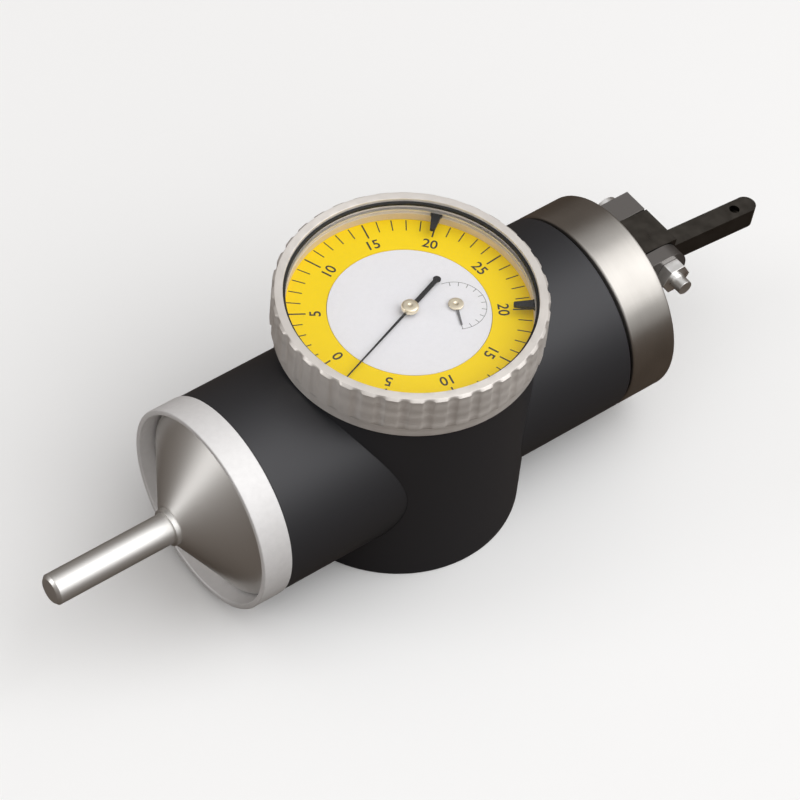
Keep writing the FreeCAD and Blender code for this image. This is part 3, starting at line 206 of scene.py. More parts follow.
def rounded(corners, closed=True, steps=ROUND_STEPS):
    """An outline with round corners.

    Each corner is (along, across, radius). Its arc touches both sides, so it starts and ends
    radius / tan(half the corner's angle) from the corner, and its points turn evenly about the
    centre that lies radius / sin(half the angle) along the bisector.
    """
    place = np.array([corner[:2] for corner in corners], float)
    count = len(corners)
    pieces = []
    for i, (_, _, radius) in enumerate(corners):
        if radius == 0 or (not closed and i in (0, count - 1)):
            pieces.append(place[i:i + 1])
            continue
        back = place[i - 1] - place[i]
        ahead = place[(i + 1) % count] - place[i]
        back /= np.linalg.norm(back)
        ahead /= np.linalg.norm(ahead)
        half = math.acos(np.clip(back @ ahead, -1, 1)) / 2
        middle = (back + ahead) / np.linalg.norm(back + ahead)
        centre = place[i] + middle * radius / math.sin(half)
        first = place[i] + back * radius / math.tan(half) - centre
        last = place[i] + ahead * radius / math.tan(half) - centre
        sweep = math.pi - 2 * half
        share = np.linspace(0, 1, steps + 1)[:, None]
        weights = np.sin((1 - share) * sweep), np.sin(share * sweep)
        pieces.append(centre + (weights[0] * first + weights[1] * last) / math.sin(sweep))
    return np.vstack(pieces)


def skin(name, points, wrap_rows, wrap_columns=True):
    """A mesh over a grid of points, with a face between every four neighbours.

    The grid may close on itself along its rows, its columns or both. Its UV map, around, runs
    from 0 to 1 along the columns and along the rows.
    """
    rows, columns = points.shape[:2]
    row, column = np.meshgrid(np.arange(rows if wrap_rows else rows - 1),
                              np.arange(columns if wrap_columns else columns - 1), indexing="ij")
    next_row, next_column = (row + 1) % rows, (column + 1) % columns
    corners = np.stack([row * columns + column, row * columns + next_column,
                        next_row * columns + next_column, next_row * columns + column], -1).reshape(-1)
    faces = len(corners) // 4
    mesh = bpy.data.meshes.new(name)
    mesh.vertices.add(rows * columns)
    mesh.vertices.foreach_set("co", np.ascontiguousarray(points, dtype=np.float32).reshape(-1))
    mesh.loops.add(faces * 4)
    mesh.loops.foreach_set("vertex_index", corners.astype(np.int32))
    mesh.polygons.add(faces)
    mesh.polygons.foreach_set("loop_start", np.arange(0, faces * 4, 4, dtype=np.int32))
    around = np.stack([column, column + 1, column + 1, column], -1) / columns
    along = np.stack([row, row, row + 1, row + 1], -1) / rows
    mesh.update(calc_edges=True)
    layer = mesh.uv_layers.new(name="around")
    layer.data.foreach_set("uv", np.stack([around, along], -1).reshape(-1).astype(np.float32))
    return mesh


def settle(mesh, angle=SMOOTH_ANGLE):
    """Merges doubled points, points faces outwards and shades smooth up to an angle."""
    work = bmesh.new()
    work.from_mesh(mesh)
    bmesh.ops.remove_doubles(work, verts=work.verts, dist=1e-7)
    bmesh.ops.dissolve_degenerate(work, edges=work.edges, dist=1e-8)
    bmesh.ops.recalc_face_normals(work, faces=work.faces)
    work.to_mesh(mesh)
    work.free()
    mesh.shade_smooth()
    mesh.set_sharp_from_angle(angle=angle)
    return mesh


def evened(thing):
    """Weighs a piece's shading towards its large faces."""
    modifier = thing.modifiers.new("even_normals", "WEIGHTED_NORMAL")
    modifier.keep_sharp = True
    return thing


def piece(name, mesh, weighted=True):
    """An object at the origin that shows a finished mesh."""
    thing = bpy.data.objects.new(name, mesh)
    bpy.context.scene.collection.objects.link(thing)
    return evened(thing) if weighted else thing


def turned(name, outline, axis="z", centre=(0, 0, 0), closed=True, steps=None, weighted=True):
    """A surface of revolution: each (along, radius) of the outline circles round the axis.

    About x the point is the centre plus (along, radius cos t, radius sin t), and about z the
    centre plus (radius cos t, radius sin t, along), where t runs once round.
    """
    steps = steps or sizes().turn_steps
    turn = np.arange(steps) * 2 * math.pi / steps
    along = np.repeat(outline[:, :1], steps, axis=1)
    circle = outline[:, 1:] * np.cos(turn), outline[:, 1:] * np.sin(turn)
    points = np.stack((along, *circle) if axis == "x" else (*circle, along), -1) + centre
    return piece(name, settle(skin(name, points, wrap_rows=closed)), weighted)


def slab(name, outline, low, high, angle=SMOOTH_ANGLE):
    """A flat plate: an outline in x and y, copied at two heights and joined by walls."""
    count = len(outline)
    flat = np.repeat(outline[None], 2, axis=0)
    height = np.repeat(np.array([low, high])[:, None, None], count, axis=1)
    mesh = skin(name, np.concatenate([flat, height], -1), wrap_rows=False)
    work = bmesh.new()
    work.from_mesh(mesh)
    work.verts.ensure_lookup_table()
    work.faces.new([work.verts[i] for i in range(count)])
    work.faces.new([work.verts[count + i] for i in range(count)])
    work.to_mesh(mesh)
    work.free()
    return piece(name, settle(mesh, angle), weighted=False)


def bevelled(thing, width, segments=2):
    """Rounds the sharp edges of a piece."""
    modifier = thing.modifiers.new("edges", "BEVEL")
    modifier.width = width
    modifier.segments = segments
    modifier.limit_method = "ANGLE"
    modifier.angle_limit = math.radians(35)
    modifier.harden_normals = True
    return thing


def carve(thing, *cutters):
    """Takes cutting shapes out of a piece, and removes them."""
    for cutter in cutters:
        modifier = thing.modifiers.new("cut", "BOOLEAN")
        modifier.operation = "DIFFERENCE"
        modifier.solver = "EXACT"
        modifier.object = cutter
        with bpy.context.temp_override(object=thing, active_object=thing):
            bpy.ops.object.modifier_apply(modifier=modifier.name)
        bpy.data.objects.remove(cutter)
    thing.data.set_sharp_from_angle(angle=SMOOTH_ANGLE)
    return evened(thing)


def drill(outline, axis="z", centre=(0, 0, 0), steps=48):
    """A cutting shape turned from (along, radius) corners whose first and last lie on the axis."""
    return turned("cutter", np.array(outline), axis, centre, closed=False, steps=steps, weighted=False)


def merged_copy(node, name):
    """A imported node's own shape with its points merged and its flat faces made whole."""
    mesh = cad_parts[node].data.copy()
    mesh.materials.clear()
    work = bmesh.new()
    work.from_mesh(mesh)
    bmesh.ops.remove_doubles(work, verts=work.verts, dist=1e-6)
    bmesh.ops.dissolve_limit(work, angle_limit=math.radians(0.5), verts=work.verts, edges=work.edges)
    work.to_mesh(mesh)
    work.free()
    mesh.shade_smooth()
    mesh.set_sharp_from_angle(angle=SMOOTH_ANGLE)
    return piece(name, mesh, weighted=False)


def dress(thing, material, body, slot, *nodes):
    """Gives a piece its finish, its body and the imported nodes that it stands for."""
    thing.data.materials.clear()
    thing.data.materials.append(material)
    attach(thing, body)
    if nodes:
        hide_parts(*nodes)
    return thing


def paint_node(node, material):
    """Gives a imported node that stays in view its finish."""
    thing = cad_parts[node]
    thing.data.materials.clear()
    thing.data.materials.append(material)


# Materials

def link(tree, source, output, target, socket):
    """Joins an output, by name, to an input, by name or number."""
    tree.links.new(source.outputs[output], target.inputs[socket])


def once(make):
    """Takes a finish whose name is already there, in the frame too, as it is, and else makes it."""
    def finish(name, *settings, **more):
        return bpy.data.materials.get(name) or make(name, *settings, **more)
    return finish


def blank_material(name, colour, metal, rough):
    """A Principled material with its plain values set, its node tree and its shader."""
    material = bpy.data.materials.new(name)
    material.use_nodes = True
    shader = material.node_tree.nodes["Principled BSDF"]
    shader.inputs["Base Color"].default_value = (*colour, 1)
    shader.inputs["Metallic"].default_value = metal
    shader.inputs["Roughness"].default_value = rough
    return material, material.node_tree, shader


def grain(tree, scale, detail, source=None, output="Object", stretch=None):
    """A noise over the object's own coordinates, or those that a node gives, stretched where asked."""
    source = source or tree.nodes.new("ShaderNodeTexCoord")
    noise = tree.nodes.new("ShaderNodeTexNoise")
    noise.inputs["Scale"].default_value = scale
    noise.inputs["Detail"].default_value = detail
    if stretch:
        mapping = tree.nodes.new("ShaderNodeMapping")
        mapping.inputs["Scale"].default_value = stretch
        link(tree, source, output, mapping, "Vector")
        source, output = mapping, "Vector"
    link(tree, source, output, noise, "Vector")
    return noise


def spread(tree, noise, low, high, shader):
    """Makes the roughness follow a noise between two limits."""
    remap = tree.nodes.new("ShaderNodeMapRange")
    limits = {"From Min": NOISE_LOW, "From Max": NOISE_HIGH, "To Min": low, "To Max": high}
    for limit, value in limits.items():
        remap.inputs[limit].default_value = value
    link(tree, noise, "Fac", remap, "Value")
    link(tree, remap, "Result", shader, "Roughness")


def ramp(tree, *stops):
    """A ramp between two stops, each a position and a colour."""
    node = tree.nodes.new("ShaderNodeValToRGB")
    for stop, (position, colour) in zip(node.color_ramp.elements, stops):
        stop.position = position
        stop.color = (*colour, 1)
    return node


def tint(tree, noise, colour, low, high, shader):
    """Makes the colour follow a noise between two shares of itself."""
    tones = ramp(tree, (NOISE_LOW, shade(colour, low)), (NOISE_HIGH, shade(colour, high)))
    link(tree, noise, "Fac", tones, "Fac")
    link(tree, tones, "Color", shader, "Base Color")


def relief(tree, noise, distance, strength, shader):
    """Raises the surface by a noise."""
    bump = tree.nodes.new("ShaderNodeBump")
    bump.inputs["Strength"].default_value = strength
    bump.inputs["Distance"].default_value = distance
    link(tree, noise, "Fac", bump, "Height")
    link(tree, bump, "Normal", shader, "Normal")


def shade(colour, share):
    """A colour made lighter or darker."""
    return tuple(min(1.0, part * share) for part in colour)


@once
def satin_paint(name, colour, rough=0.46, pebble=1500):
    """Fine pebbled satin paint: a close grain in relief, painted glints on its pebbles, and cloudy patches of
    sheen.
    """
    material, tree, shader = blank_material(name, colour, 0.0, rough)
    fine = grain(tree, pebble, 3)
    spread(tree, grain(tree, 120, 4), rough - 0.05, rough + 0.07, shader)
    # painted glints: the fine grain swings the colour from 0.3 to 1.9 times the paint, lighter on the raised
    # pebbles, standing in for the light they catch
    tint(tree, fine, colour, 0.3, 1.9, shader)
    relief(tree, fine, 0.08 * MM, 1.0, shader)
    shader.inputs["Specular IOR Level"].default_value = 0.32
    return material


@once
def turned_metal(name, colour, rough, streak=(3.0, 900.0, 1.0), depth=0.004, anisotropy=0.6, metal=1.0,
                 reflection_wedges=0):
    """Lathe-turned metal: fine grooves that run round the piece, with highlights drawn out across them.

    When wedges are asked for, its tone also varies with the angle round the shaft, in soft light and dark
    wedges of painted reflection, standing in for the surroundings that a turned face mirrors: the noise
    reads the direction from the axis, which is the point's y and z from it, brought to a length of 1.
    """
    material, tree, shader = blank_material(name, colour, metal, rough)
    shader.inputs["Anisotropic"].default_value = anisotropy
    shader.inputs["Anisotropic Rotation"].default_value = 0.25
    place = tree.nodes.new("ShaderNodeUVMap")
    place.uv_map = "around"
    lines = grain(tree, 1.0, 3, place, "UV", streak)
    spread(tree, lines, rough * 0.8, rough * 1.25, shader)
    if reflection_wedges:
        centred = tree.nodes.new("ShaderNodeMapping")
        centred.inputs["Scale"].default_value = (0, 1, 1)
        centred.inputs["Location"].default_value = (0, 0, -AXIS_Z)
        towards = tree.nodes.new("ShaderNodeVectorMath")
        towards.operation = "NORMALIZE"
        link(tree, tree.nodes.new("ShaderNodeTexCoord"), "Object", centred, "Vector")
        link(tree, centred, "Vector", towards, 0)
        # painted reflection: the tone swings from 0.6 to 1.15 of the steel in wedges round the shaft
        tint(tree, grain(tree, reflection_wedges, 3, towards, "Vector"), colour, 0.6, 1.15, shader)
    else:
        tint(tree, grain(tree, 160, 3), colour, 0.94, 1.05, shader)
    relief(tree, lines, depth * MM, 0.5, shader)
    tangent = tree.nodes.new("ShaderNodeTangent")
    tangent.direction_type = "UV_MAP"
    tangent.uv_map = "around"
    link(tree, tangent, "Tangent", shader, "Tangent")
    return material


@once
def ground_metal(name, colour, rough, scratches=(900.0, 60.0, 60.0), depth=0.006):
    """Ground metal: straight scratches along x, y or z with patches of tone."""
    material, tree, shader = blank_material(name, colour, 1.0, rough)
    broad = grain(tree, 400, 3)
    spread(tree, broad, rough * 0.8, rough * 1.3, shader)
    tint(tree, broad, colour, 0.88, 1.12, shader)
    relief(tree, grain(tree, 1.0, 4, stretch=scratches), depth * MM, 0.5, shader)
    return material


def bright_steel():
    """Bright ground steel, shared by the fixings and the works inside."""
    return ground_metal("bright_steel", (0.93, 0.92, 0.90), 0.34, (500.0, 500.0, 500.0), 0.002)


@once
def frosted_metal(name, colour):
    """Bead-blasted aluminium: an even, very fine pitting."""
    material, tree, shader = blank_material(name, colour, 0.25, 0.55)
    fine = grain(tree, 3200, 2)
    spread(tree, fine, 0.5, 0.62, shader)
    tint(tree, grain(tree, 900, 4), colour, 0.97, 1.02, shader)
    relief(tree, fine, 0.02 * MM, 0.4, shader)
    return material


@once
def printed_card(name, colour, rough=0.5):
    """Matte printed plate: an even colour with the faintest mottling."""
    material, tree, shader = blank_material(name, colour, 0.0, rough)
    fine = grain(tree, 1500, 3)
    spread(tree, fine, rough - 0.04, rough + 0.06, shader)
    tint(tree, fine, colour, 0.975, 1.0, shader)
    shader.inputs["Specular IOR Level"].default_value = 0.25
    return material


@once
def rubber(name, colour):
    """Matte moulded rubber."""
    material, tree, shader = blank_material(name, colour, 0.0, 0.7)
    fine = grain(tree, 4000, 2)
    spread(tree, fine, 0.6, 0.8, shader)
    relief(tree, fine, 0.01 * MM, 0.3, shader)
    return material


@once
def clear_crystal(name):
    """Clear crystal: see-through, with the gloss that Fresnel's law gives where light enters it."""
    material, tree, shader = blank_material(name, (1, 1, 1), 1.0, 0.03)
    spread(tree, grain(tree, 90, 2), 0.02, 0.05, shader)
    fresnel = tree.nodes.new("ShaderNodeFresnel")
    fresnel.inputs["IOR"].default_value = 1.45
    entering = tree.nodes.new("ShaderNodeMapRange")
    entering.inputs["To Min"].default_value = 1.0
    entering.inputs["To Max"].default_value = 0.0
    share = tree.nodes.new("ShaderNodeMath")
    share.operation = "MULTIPLY"
    mix = tree.nodes.new("ShaderNodeMixShader")
    link(tree, tree.nodes.new("ShaderNodeNewGeometry"), "Backfacing", entering, "Value")
    link(tree, fresnel, "Fac", share, 0)
    link(tree, entering, "Result", share, 1)
    link(tree, share, "Value", mix, "Fac")
    link(tree, tree.nodes.new("ShaderNodeBsdfTransparent"), "BSDF", mix, 1)
    link(tree, shader, "BSDF", mix, 2)
    link(tree, mix, "Shader", tree.nodes["Material Output"], "Surface")
    return material


# Pieces

class INDICATOR_OT_barrel(bpy.types.Operator):
    """Barrel and dial housing with their satin black paint"""
    bl_idname = "indicator.barrel"
    bl_label = "Barrel and housing"

    def execute(self, context):
        paint = satin_paint("black_paint", colours().black_paint)
        dress(self.barrel(), paint, "body", "black_paint", "barrel")
        dress(self.housing(), paint, "body", "black_paint", "dial_housing")
        return {"FINISHED"}

    def barrel(self):
        """A tube with a seat for a bearing at each end, opened for the movement."""
        back, front = BARREL[0][0], BARREL[1][0]
        outer = BARREL[1][1]
        seat, width = RACE[1][1], RACE[1][0] - RACE[0][0]
        bore = seat - 1.5 * MM
        edge = sizes().edge_round
        tube = turned("painted_barrel", rounded([
            (back, seat, 0), (back, outer, edge), (front, outer, edge), (front, seat, 0),
            (front - width, seat, 0), (front - width, bore, 0), (back + width, bore, 0),
            (back + width, seat, 0)]), "x", ON_SHAFT, weighted=False)
        return carve(tube, self.cavity(), self.rod_hole(), *self.screw_holes())

    def housing(self):
        """A round block that sits over the barrel, with a neck that the bezel turns on."""
        top, outer = HOUSING[1][2], HOUSING[1][0]
        shoulder, neck = top - 4.4 * MM, outer - 1.5 * MM
        groove, depth = shoulder + 1.9 * MM, 0.5 * MM
        edge, fine = sizes().edge_round, sizes().fine_round
        block = turned("painted_housing", rounded([
            (0, 0, 0), (0, outer, edge), (shoulder, outer, edge), (shoulder, neck, 0), (groove, neck, 0),
            (groove, neck - depth, 0), (groove + depth, neck - depth, 0), (groove + depth, neck, 0),
            (top, neck, fine), (top, 0, 0)], closed=False), closed=False, weighted=False)
        reach = BARREL[1][0]
        saddle = BARREL[1][1] + 0.08 * MM
        seat = drill([(-reach, 0), (-reach, saddle), (reach, saddle), (reach, 0)], "x", ON_SHAFT,
                     sizes().turn_steps)
        return carve(block, seat, self.cavity(), self.rod_hole(), *self.screw_holes())

    def cavity(self):
        """The round room for the movement, open at the top."""
        floor, radius = MOVEMENT[0][2], 20.7 * MM
        high = HOUSING[1][2] + 1 * MM
        return drill([(floor, 0), (floor, radius), (high, radius), (high, 0)], steps=128)

    def rod_hole(self):
        """The threaded hole for a rod in the middle of the back face."""
        start, end, radius = -1 * MM, 8 * MM, 2.5 * MM
        return drill([(start, 0), (start, radius), (end, radius), (end, 0)])

    def screw_holes(self):
        """Countersunk holes for the two screws that hold the barrel."""
        low, high = BACK_SCREWS
        head = high[1] + 0.02 * MM
        shank, cone = head / 2 + 0.1 * MM, head / 2
        end = high[2] + 0.05 * MM
        outline = [(-1 * MM, 0), (-1 * MM, head + 1 * MM), (0, head), (cone, shank), (end, shank), (end, 0)]
        return [drill(outline, centre=(x, 0, 0)) for x in (low[0] + head, high[0] - head)]


class INDICATOR_OT_cone_ring(bpy.types.Operator):
    """Frosted ring that guards the cone"""
    bl_idname = "indicator.cone_ring"
    bl_label = "Cone ring"

    def execute(self, context):
        back, front = RING[0][0], RING[1][0]
        outer = RING[1][2] - AXIS_Z
        bore, web_bore, web = 18.8 * MM, 12.0 * MM, 2.0 * MM
        edge = sizes().edge_round
        ring = turned("frosted_ring", rounded([
            (back, bore, edge), (back, outer, edge), (front, outer, edge), (front, web_bore, 0),
            (front - web, web_bore, 0), (front - web, bore, edge)]), "x", ON_SHAFT)
        frosted = frosted_metal("frosted_aluminium", colours().frosted)
        dress(ring, frosted, "body", "frosted_ring", "cone_ring")
        return {"FINISHED"}


class INDICATOR_OT_spindle(bpy.types.Operator):
    """Polished shank, collar, cone and shaft in one turned piece"""
    bl_idname = "indicator.spindle"
    bl_label = "Spindle"

    def execute(self, context):
        tip, end = SPINDLE[0][0], SPINDLE[1][0]
        edge, fine = sizes().edge_round, sizes().fine_round
        shank, lead, collar, neck, cone, journal = np.array([3.0, 0.6, 3.6, 4.0, 18.3, 5.0]) * MM
        shank_end = tip + 25.0 * MM
        foot = shank_end + 1.0 * MM
        top = foot + 9.5 * MM
        rim = top + 0.5 * MM
        hub = rim + 2.4 * MM
        bore_end = -8.0 * MM
        spindle = turned("polished_spindle", rounded([
            (tip, 0, 0), (tip, shank - lead, edge), (tip + lead, shank, edge), (shank_end, shank, 0),
            (shank_end, collar, fine), (foot, collar, 0), (foot, neck, fine), (top, cone, fine),
            (rim, cone, fine), (rim, BOSS, 0), (hub, BOSS, 0), (hub, journal, 0), (end, journal, fine),
            (end, ROD_BORE, 0), (bore_end, ROD_BORE, 0), (bore_end, 0, 0)], closed=False),
            "x", ON_SHAFT, closed=False)
        # the spindle's steel is tinted in five soft wedges round the shaft: painted reflection
        steel = turned_metal("polished_steel", colours().steel, 0.2, depth=0.002, anisotropy=0.9,
                             reflection_wedges=5)
        dress(spindle, steel, "spindle", "polished_steel", "spindle")
        return {"FINISHED"}


class INDICATOR_OT_head(bpy.types.Operator):
    """Brushed feeler head"""
    bl_idname = "indicator.head"
    bl_label = "Feeler head"

    def execute(self, context):
        back, front = HEAD[0][0], HEAD[1][0]
        gap, face, seat = 0.7 * MM, 3.0 * MM, 5.02 * MM
        outer = HEAD[1][2] - AXIS_Z
        edge = 2 * sizes().edge_round
        head = turned("brushed_head", rounded([
            (back, seat, 0), (back, BOSS, 0), (back + gap, BOSS, 0), (back + gap, outer, edge),
            (front, outer, edge), (front, ROD_BORE, 0), (front - face, ROD_BORE, 0),
            (front - face, seat, 0)]), "x", ON_SHAFT)
        steel = turned_metal("brushed_steel", shade(colours().steel, 0.74), 0.36, depth=0.004,
                             anisotropy=0.85)
        dress(head, steel, "spindle", "brushed_head", "feeler_head")
        return {"FINISHED"}


class INDICATOR_OT_feeler_end(bpy.types.Operator):
    """Clevis, lever, pivot screw and nut"""
    bl_idname = "indicator.feeler_end"
    bl_label = "Feeler end"

    def execute(self, context):
        dark = ground_metal("dark_steel", colours().dark_steel, 0.32)
        clevis = bevelled(merged_copy("clevis", "ground_clevis"), 2 * sizes().fine_round)
        dress(clevis, dark, "spindle", "dark_steel", "clevis")
        lever = bevelled(merged_copy("feeler_lever", "ground_lever"), 2 * sizes().fine_round)
        # painted light: the lever gets a copy of the clevis's dark steel at 1.2 times its tone, set to how
        # lit its arm looks, not a finish of its own
        lever_lit_copy = ground_metal("blackened_steel", shade(colours().dark_steel, 1.2), 0.34)
        dress(lever, lever_lit_copy, "lever", "dark_steel", "feeler_lever")
        bright = bright_steel()
        for node in ("pivot_screw", "pivot_nut"):
            fixing = bevelled(merged_copy(node, "bright_" + node), sizes().fine_round)
            dress(fixing, bright, "spindle", "bright_fixings", node)
        return {"FINISHED"}


class INDICATOR_OT_bezel(bpy.types.Operator):
    """Satin bezel with shallow flutes over a plain band"""
    bl_idname = "indicator.bezel"
    bl_label = "Bezel"

    def execute(self, context):
        outline = rounded(self.outline())
        turn, flute = self.flutes(BEZEL[1][0])
        radius = np.minimum(outline[:, 1:], flute)
        points = np.stack([radius * np.cos(turn), radius * np.sin(turn),
                           np.repeat(outline[:, :1], len(turn), axis=1)], -1)
        mesh = settle(skin("fluted_bezel", points, wrap_rows=True), math.radians(55))
        metal = turned_metal("satin_aluminium", colours().bezel, 0.5, (4.0, 260.0, 1.0), depth=0.001,
                             anisotropy=0.3, metal=0.6)
        dress(piece("fluted_bezel", mesh), metal, "bezel", "satin_bezel", "bezel")
        low = BEZEL[0][2] + 5.45 * MM
        high = low + 1.5 * MM
        sunk, face = BEZEL_BORE + 0.01 * MM, BEZEL_BORE - 0.04 * MM
        lining = turned("bore_lining", np.array([(low, sunk), (high, sunk), (high, face), (low, face)]))
        dress(lining, printed_card("beige_lining", colours().lining, 0.45), "bezel", "satin_bezel")
        return {"FINISHED"}

    def flutes(self, outer):
        """Angles round the rim, and the radius that the flutes leave at each.

        A flute is cut by a cylinder of radius r whose axis stands r - depth outside the rim, so at
        a distance s along the rim it leaves outer + r - depth - sqrt(r squared - s squared).
        """
        count, reach, depth = sizes().scallops, sizes().scallop_radius, sizes().scallop_depth
        pitch = 2 * math.pi / count
        half = math.sqrt(reach ** 2 - (reach - depth) ** 2) / outer
        groove = np.linspace(-half, half, 11)
        land = np.linspace(half, pitch - half, 5)[1:-1]
        turn = (np.arange(count)[:, None] * pitch + np.concatenate([groove, land])).reshape(-1)
        along = outer * (turn - np.round(turn / pitch) * pitch)
        cut = outer + reach - depth - np.sqrt(np.maximum(reach ** 2 - along ** 2, 0))
        return turn, cut

    def outline(self):
        """The bezel's section as (height, radius, corner radius), from the outer foot to the bore."""
        low, high = BEZEL[0][2], BEZEL[1][2]
        outer = BEZEL[1][0]
        chamfer = 0.5 * MM
        bore, seat, shelf_bore = BEZEL_BORE, 23.0 * MM, 21.0 * MM
        edge, fine = sizes().edge_round, sizes().fine_round
        band, crystal = low + 2.1 * MM, low + 8.0 * MM
        shelf, shelf_top = low + 4.5 * MM, low + 5.0 * MM
        marker, marker_top, marker_groove = low + 7.0 * MM, low + 7.8 * MM, bore + 0.5 * MM
        wire, wire_top, wire_groove = low + 1.7 * MM, low + 2.9 * MM, bore + 0.4 * MM
        return [
            (low, bore, 0), (low, outer - chamfer, edge), (band, outer - chamfer, fine),
            (band + chamfer, outer, fine), (high - chamfer, outer, fine), (high, outer - chamfer, fine),
            (high, seat, fine), (crystal, seat, 0), (crystal, bore, 0), (marker_top, bore, 0),
            (marker_top, marker_groove, 0), (marker, marker_groove, 0), (marker, bore, 0),
            (shelf_top, bore, 0), (shelf_top, shelf_bore, 0), (shelf, shelf_bore, 0), (shelf, bore, 0),
            (wire_top, bore, 0), (wire_top, wire_groove, 0), (wire, wire_groove, 0), (wire, bore, 0)]


class INDICATOR_OT_crystal(bpy.types.Operator):
    """Domed crystal and its black gasket"""
    bl_idname = "indicator.crystal"
    bl_label = "Crystal and gasket"

    def execute(self, context):
        low, high = CRYSTAL[0][2], CRYSTAL[1][2]
        outer = CRYSTAL[1][0]
        edge_height = 0.9 * MM
        rise = high - low - edge_height
        # the dome is a sphere's cap, so its height falls off as the root of radius squared less r squared
        sphere = (outer ** 2 + rise ** 2) / (2 * rise)
        across = np.linspace(1, 0, 25) * outer
        dome = low + edge_height + np.sqrt(sphere ** 2 - across ** 2) - (sphere - rise)
        outline = np.vstack([[low, 0], [low, outer], np.stack([dome, across], -1)])
        crystal = turned("domed_crystal", outline, closed=False)
        dress(crystal, clear_crystal("crystal"), "bezel", "clear_crystal", "crystal")
        base, top = GASKET[0][2], GASKET[1][2] - 0.2 * MM
        seat, inner = GASKET[1][0], GASKET[1][0] - 0.5 * MM
        gasket = turned("black_gasket", rounded([
            (base, inner, 0), (base, seat, 0), (top, seat, 0), (top, inner, 2 * sizes().fine_round)]))
        black = rubber("black_rubber", (0.012, 0.012, 0.012))
        dress(gasket, black, "bezel", "gasket_rubber", "crystal_gasket")
        return {"FINISHED"}


class INDICATOR_OT_scale(bpy.types.Operator):
    """Yellow scale ring with its marks and figures"""
    bl_idname = "indicator.scale"
    bl_label = "Scale"

    def execute(self, context):
        low, outer = SCALE[0][2], SCALE[1][0]
        ring = turned("printed_scale", np.array([
            (low, SCALE_BORE), (low, outer), (FACE_Z, outer), (FACE_Z, SCALE_BORE)]))
        dress(ring, printed_card("scale_yellow", colours().yellow), "bezel", "yellow_scale", "scale_ring")
        ink = printed_card("dark_ink", colours().ink, 0.6)
        for layer in (self.marks(outer), self.figures()):
            dress(layer, ink, "bezel", "pointer_black")
        return {"FINISHED"}

    def marks(self, outer):
        """Bars at even angles, longer at every fifth, each a box of corners turned to its angle."""
        count = sizes().divisions
        turn = math.pi + sizes().scale_turn + np.arange(count) * 2 * math.pi / count
        fifth = np.arange(count) % 5 == 0
        inner = np.where(fifth, 18.7 * MM, 19.6 * MM)
        half = np.where(fifth, 0.15 * MM, 0.11 * MM)
        along = np.stack([inner, np.full(count, outer - 0.25 * MM)], -1)[:, [0, 1, 1, 0]]
        across = np.stack([-half, -half, half, half], -1)
        x = along * np.cos(turn)[:, None] - across * np.sin(turn)[:, None]
        y = along * np.sin(turn)[:, None] + across * np.cos(turn)[:, None]
        return prisms("scale_marks", x, y, FACE_Z, sizes().print_height)

    def figures(self):
        """Figures every fifth mark, from 0 up to 25 and down again, tops outwards."""
        values = [0, 5, 10, 15, 20, 25, 20, 15, 10, 5]
        meshes = []
        for i, value in enumerate(values):
            turn = math.pi + sizes().scale_turn - i * 2 * math.pi / len(values)
            meshes.append(figure(str(value), sizes().numeral_height, turn, 16.9 * MM, turn - math.pi / 2))
        return joined("scale_figures", meshes)


def prisms(name, x, y, height, thickness):
    """Thin boxes from rows of four corners, with walls down to just under the face."""
    count = len(x)
    low = np.stack([x, y, np.full_like(x, height - thickness)], -1)
    high = np.stack([x, y, np.full_like(x, height + thickness)], -1)
    points = np.concatenate([low, high], 1).reshape(-1, 3)
    sides = np.array([[3, 2, 1, 0], [4, 5, 6, 7], [0, 1, 5, 4], [1, 2, 6, 5], [2, 3, 7, 6], [3, 0, 4, 7]])
    faces = (sides[None] + 8 * np.arange(count)[:, None, None]).reshape(-1, 4)
    mesh = bpy.data.meshes.new(name)
    mesh.from_pydata(points.tolist(), [], faces.tolist())
    mesh.update()
    return piece(name, mesh, weighted=False)


def figure(text, height, turn, radius, facing):
    """A figure's outline as a thin mesh, centred at an angle and radius on the dial's face."""
    curve = bpy.data.curves.new("figure", "FONT")
    curve.body = text
    curve.size = height * FONT_SIZE
    curve.align_x = "CENTER"
    curve.align_y = "CENTER"
    curve.extrude = sizes().print_height
    curve.offset = height * STROKE_SHARE
    curve.resolution_u = 4
    holder = bpy.data.objects.new("figure", curve)
    bpy.context.scene.collection.objects.link(holder)
    bpy.context.view_layer.update()
    mesh = bpy.data.meshes.new_from_object(holder.evaluated_get(bpy.context.evaluated_depsgraph_get()))
    bpy.data.objects.remove(holder)
    spot = Matrix.Translation((radius * math.cos(turn), radius * math.sin(turn), FACE_Z))
    mesh.transform(spot @ Matrix.Rotation(facing, 4, "Z"))
    return mesh


def joined(name, meshes):
    """Several meshes as one piece."""
    work = bmesh.new()
    for mesh in meshes:
        work.from_mesh(mesh)
        bpy.data.meshes.remove(mesh)
    bmesh.ops.remove_doubles(work, verts=work.verts, dist=1e-7)
    bmesh.ops.recalc_face_normals(work, faces=work.faces)
    whole = bpy.data.meshes.new(name)
    work.to_mesh(whole)
    work.free()
    return piece(name, whole, weighted=False)


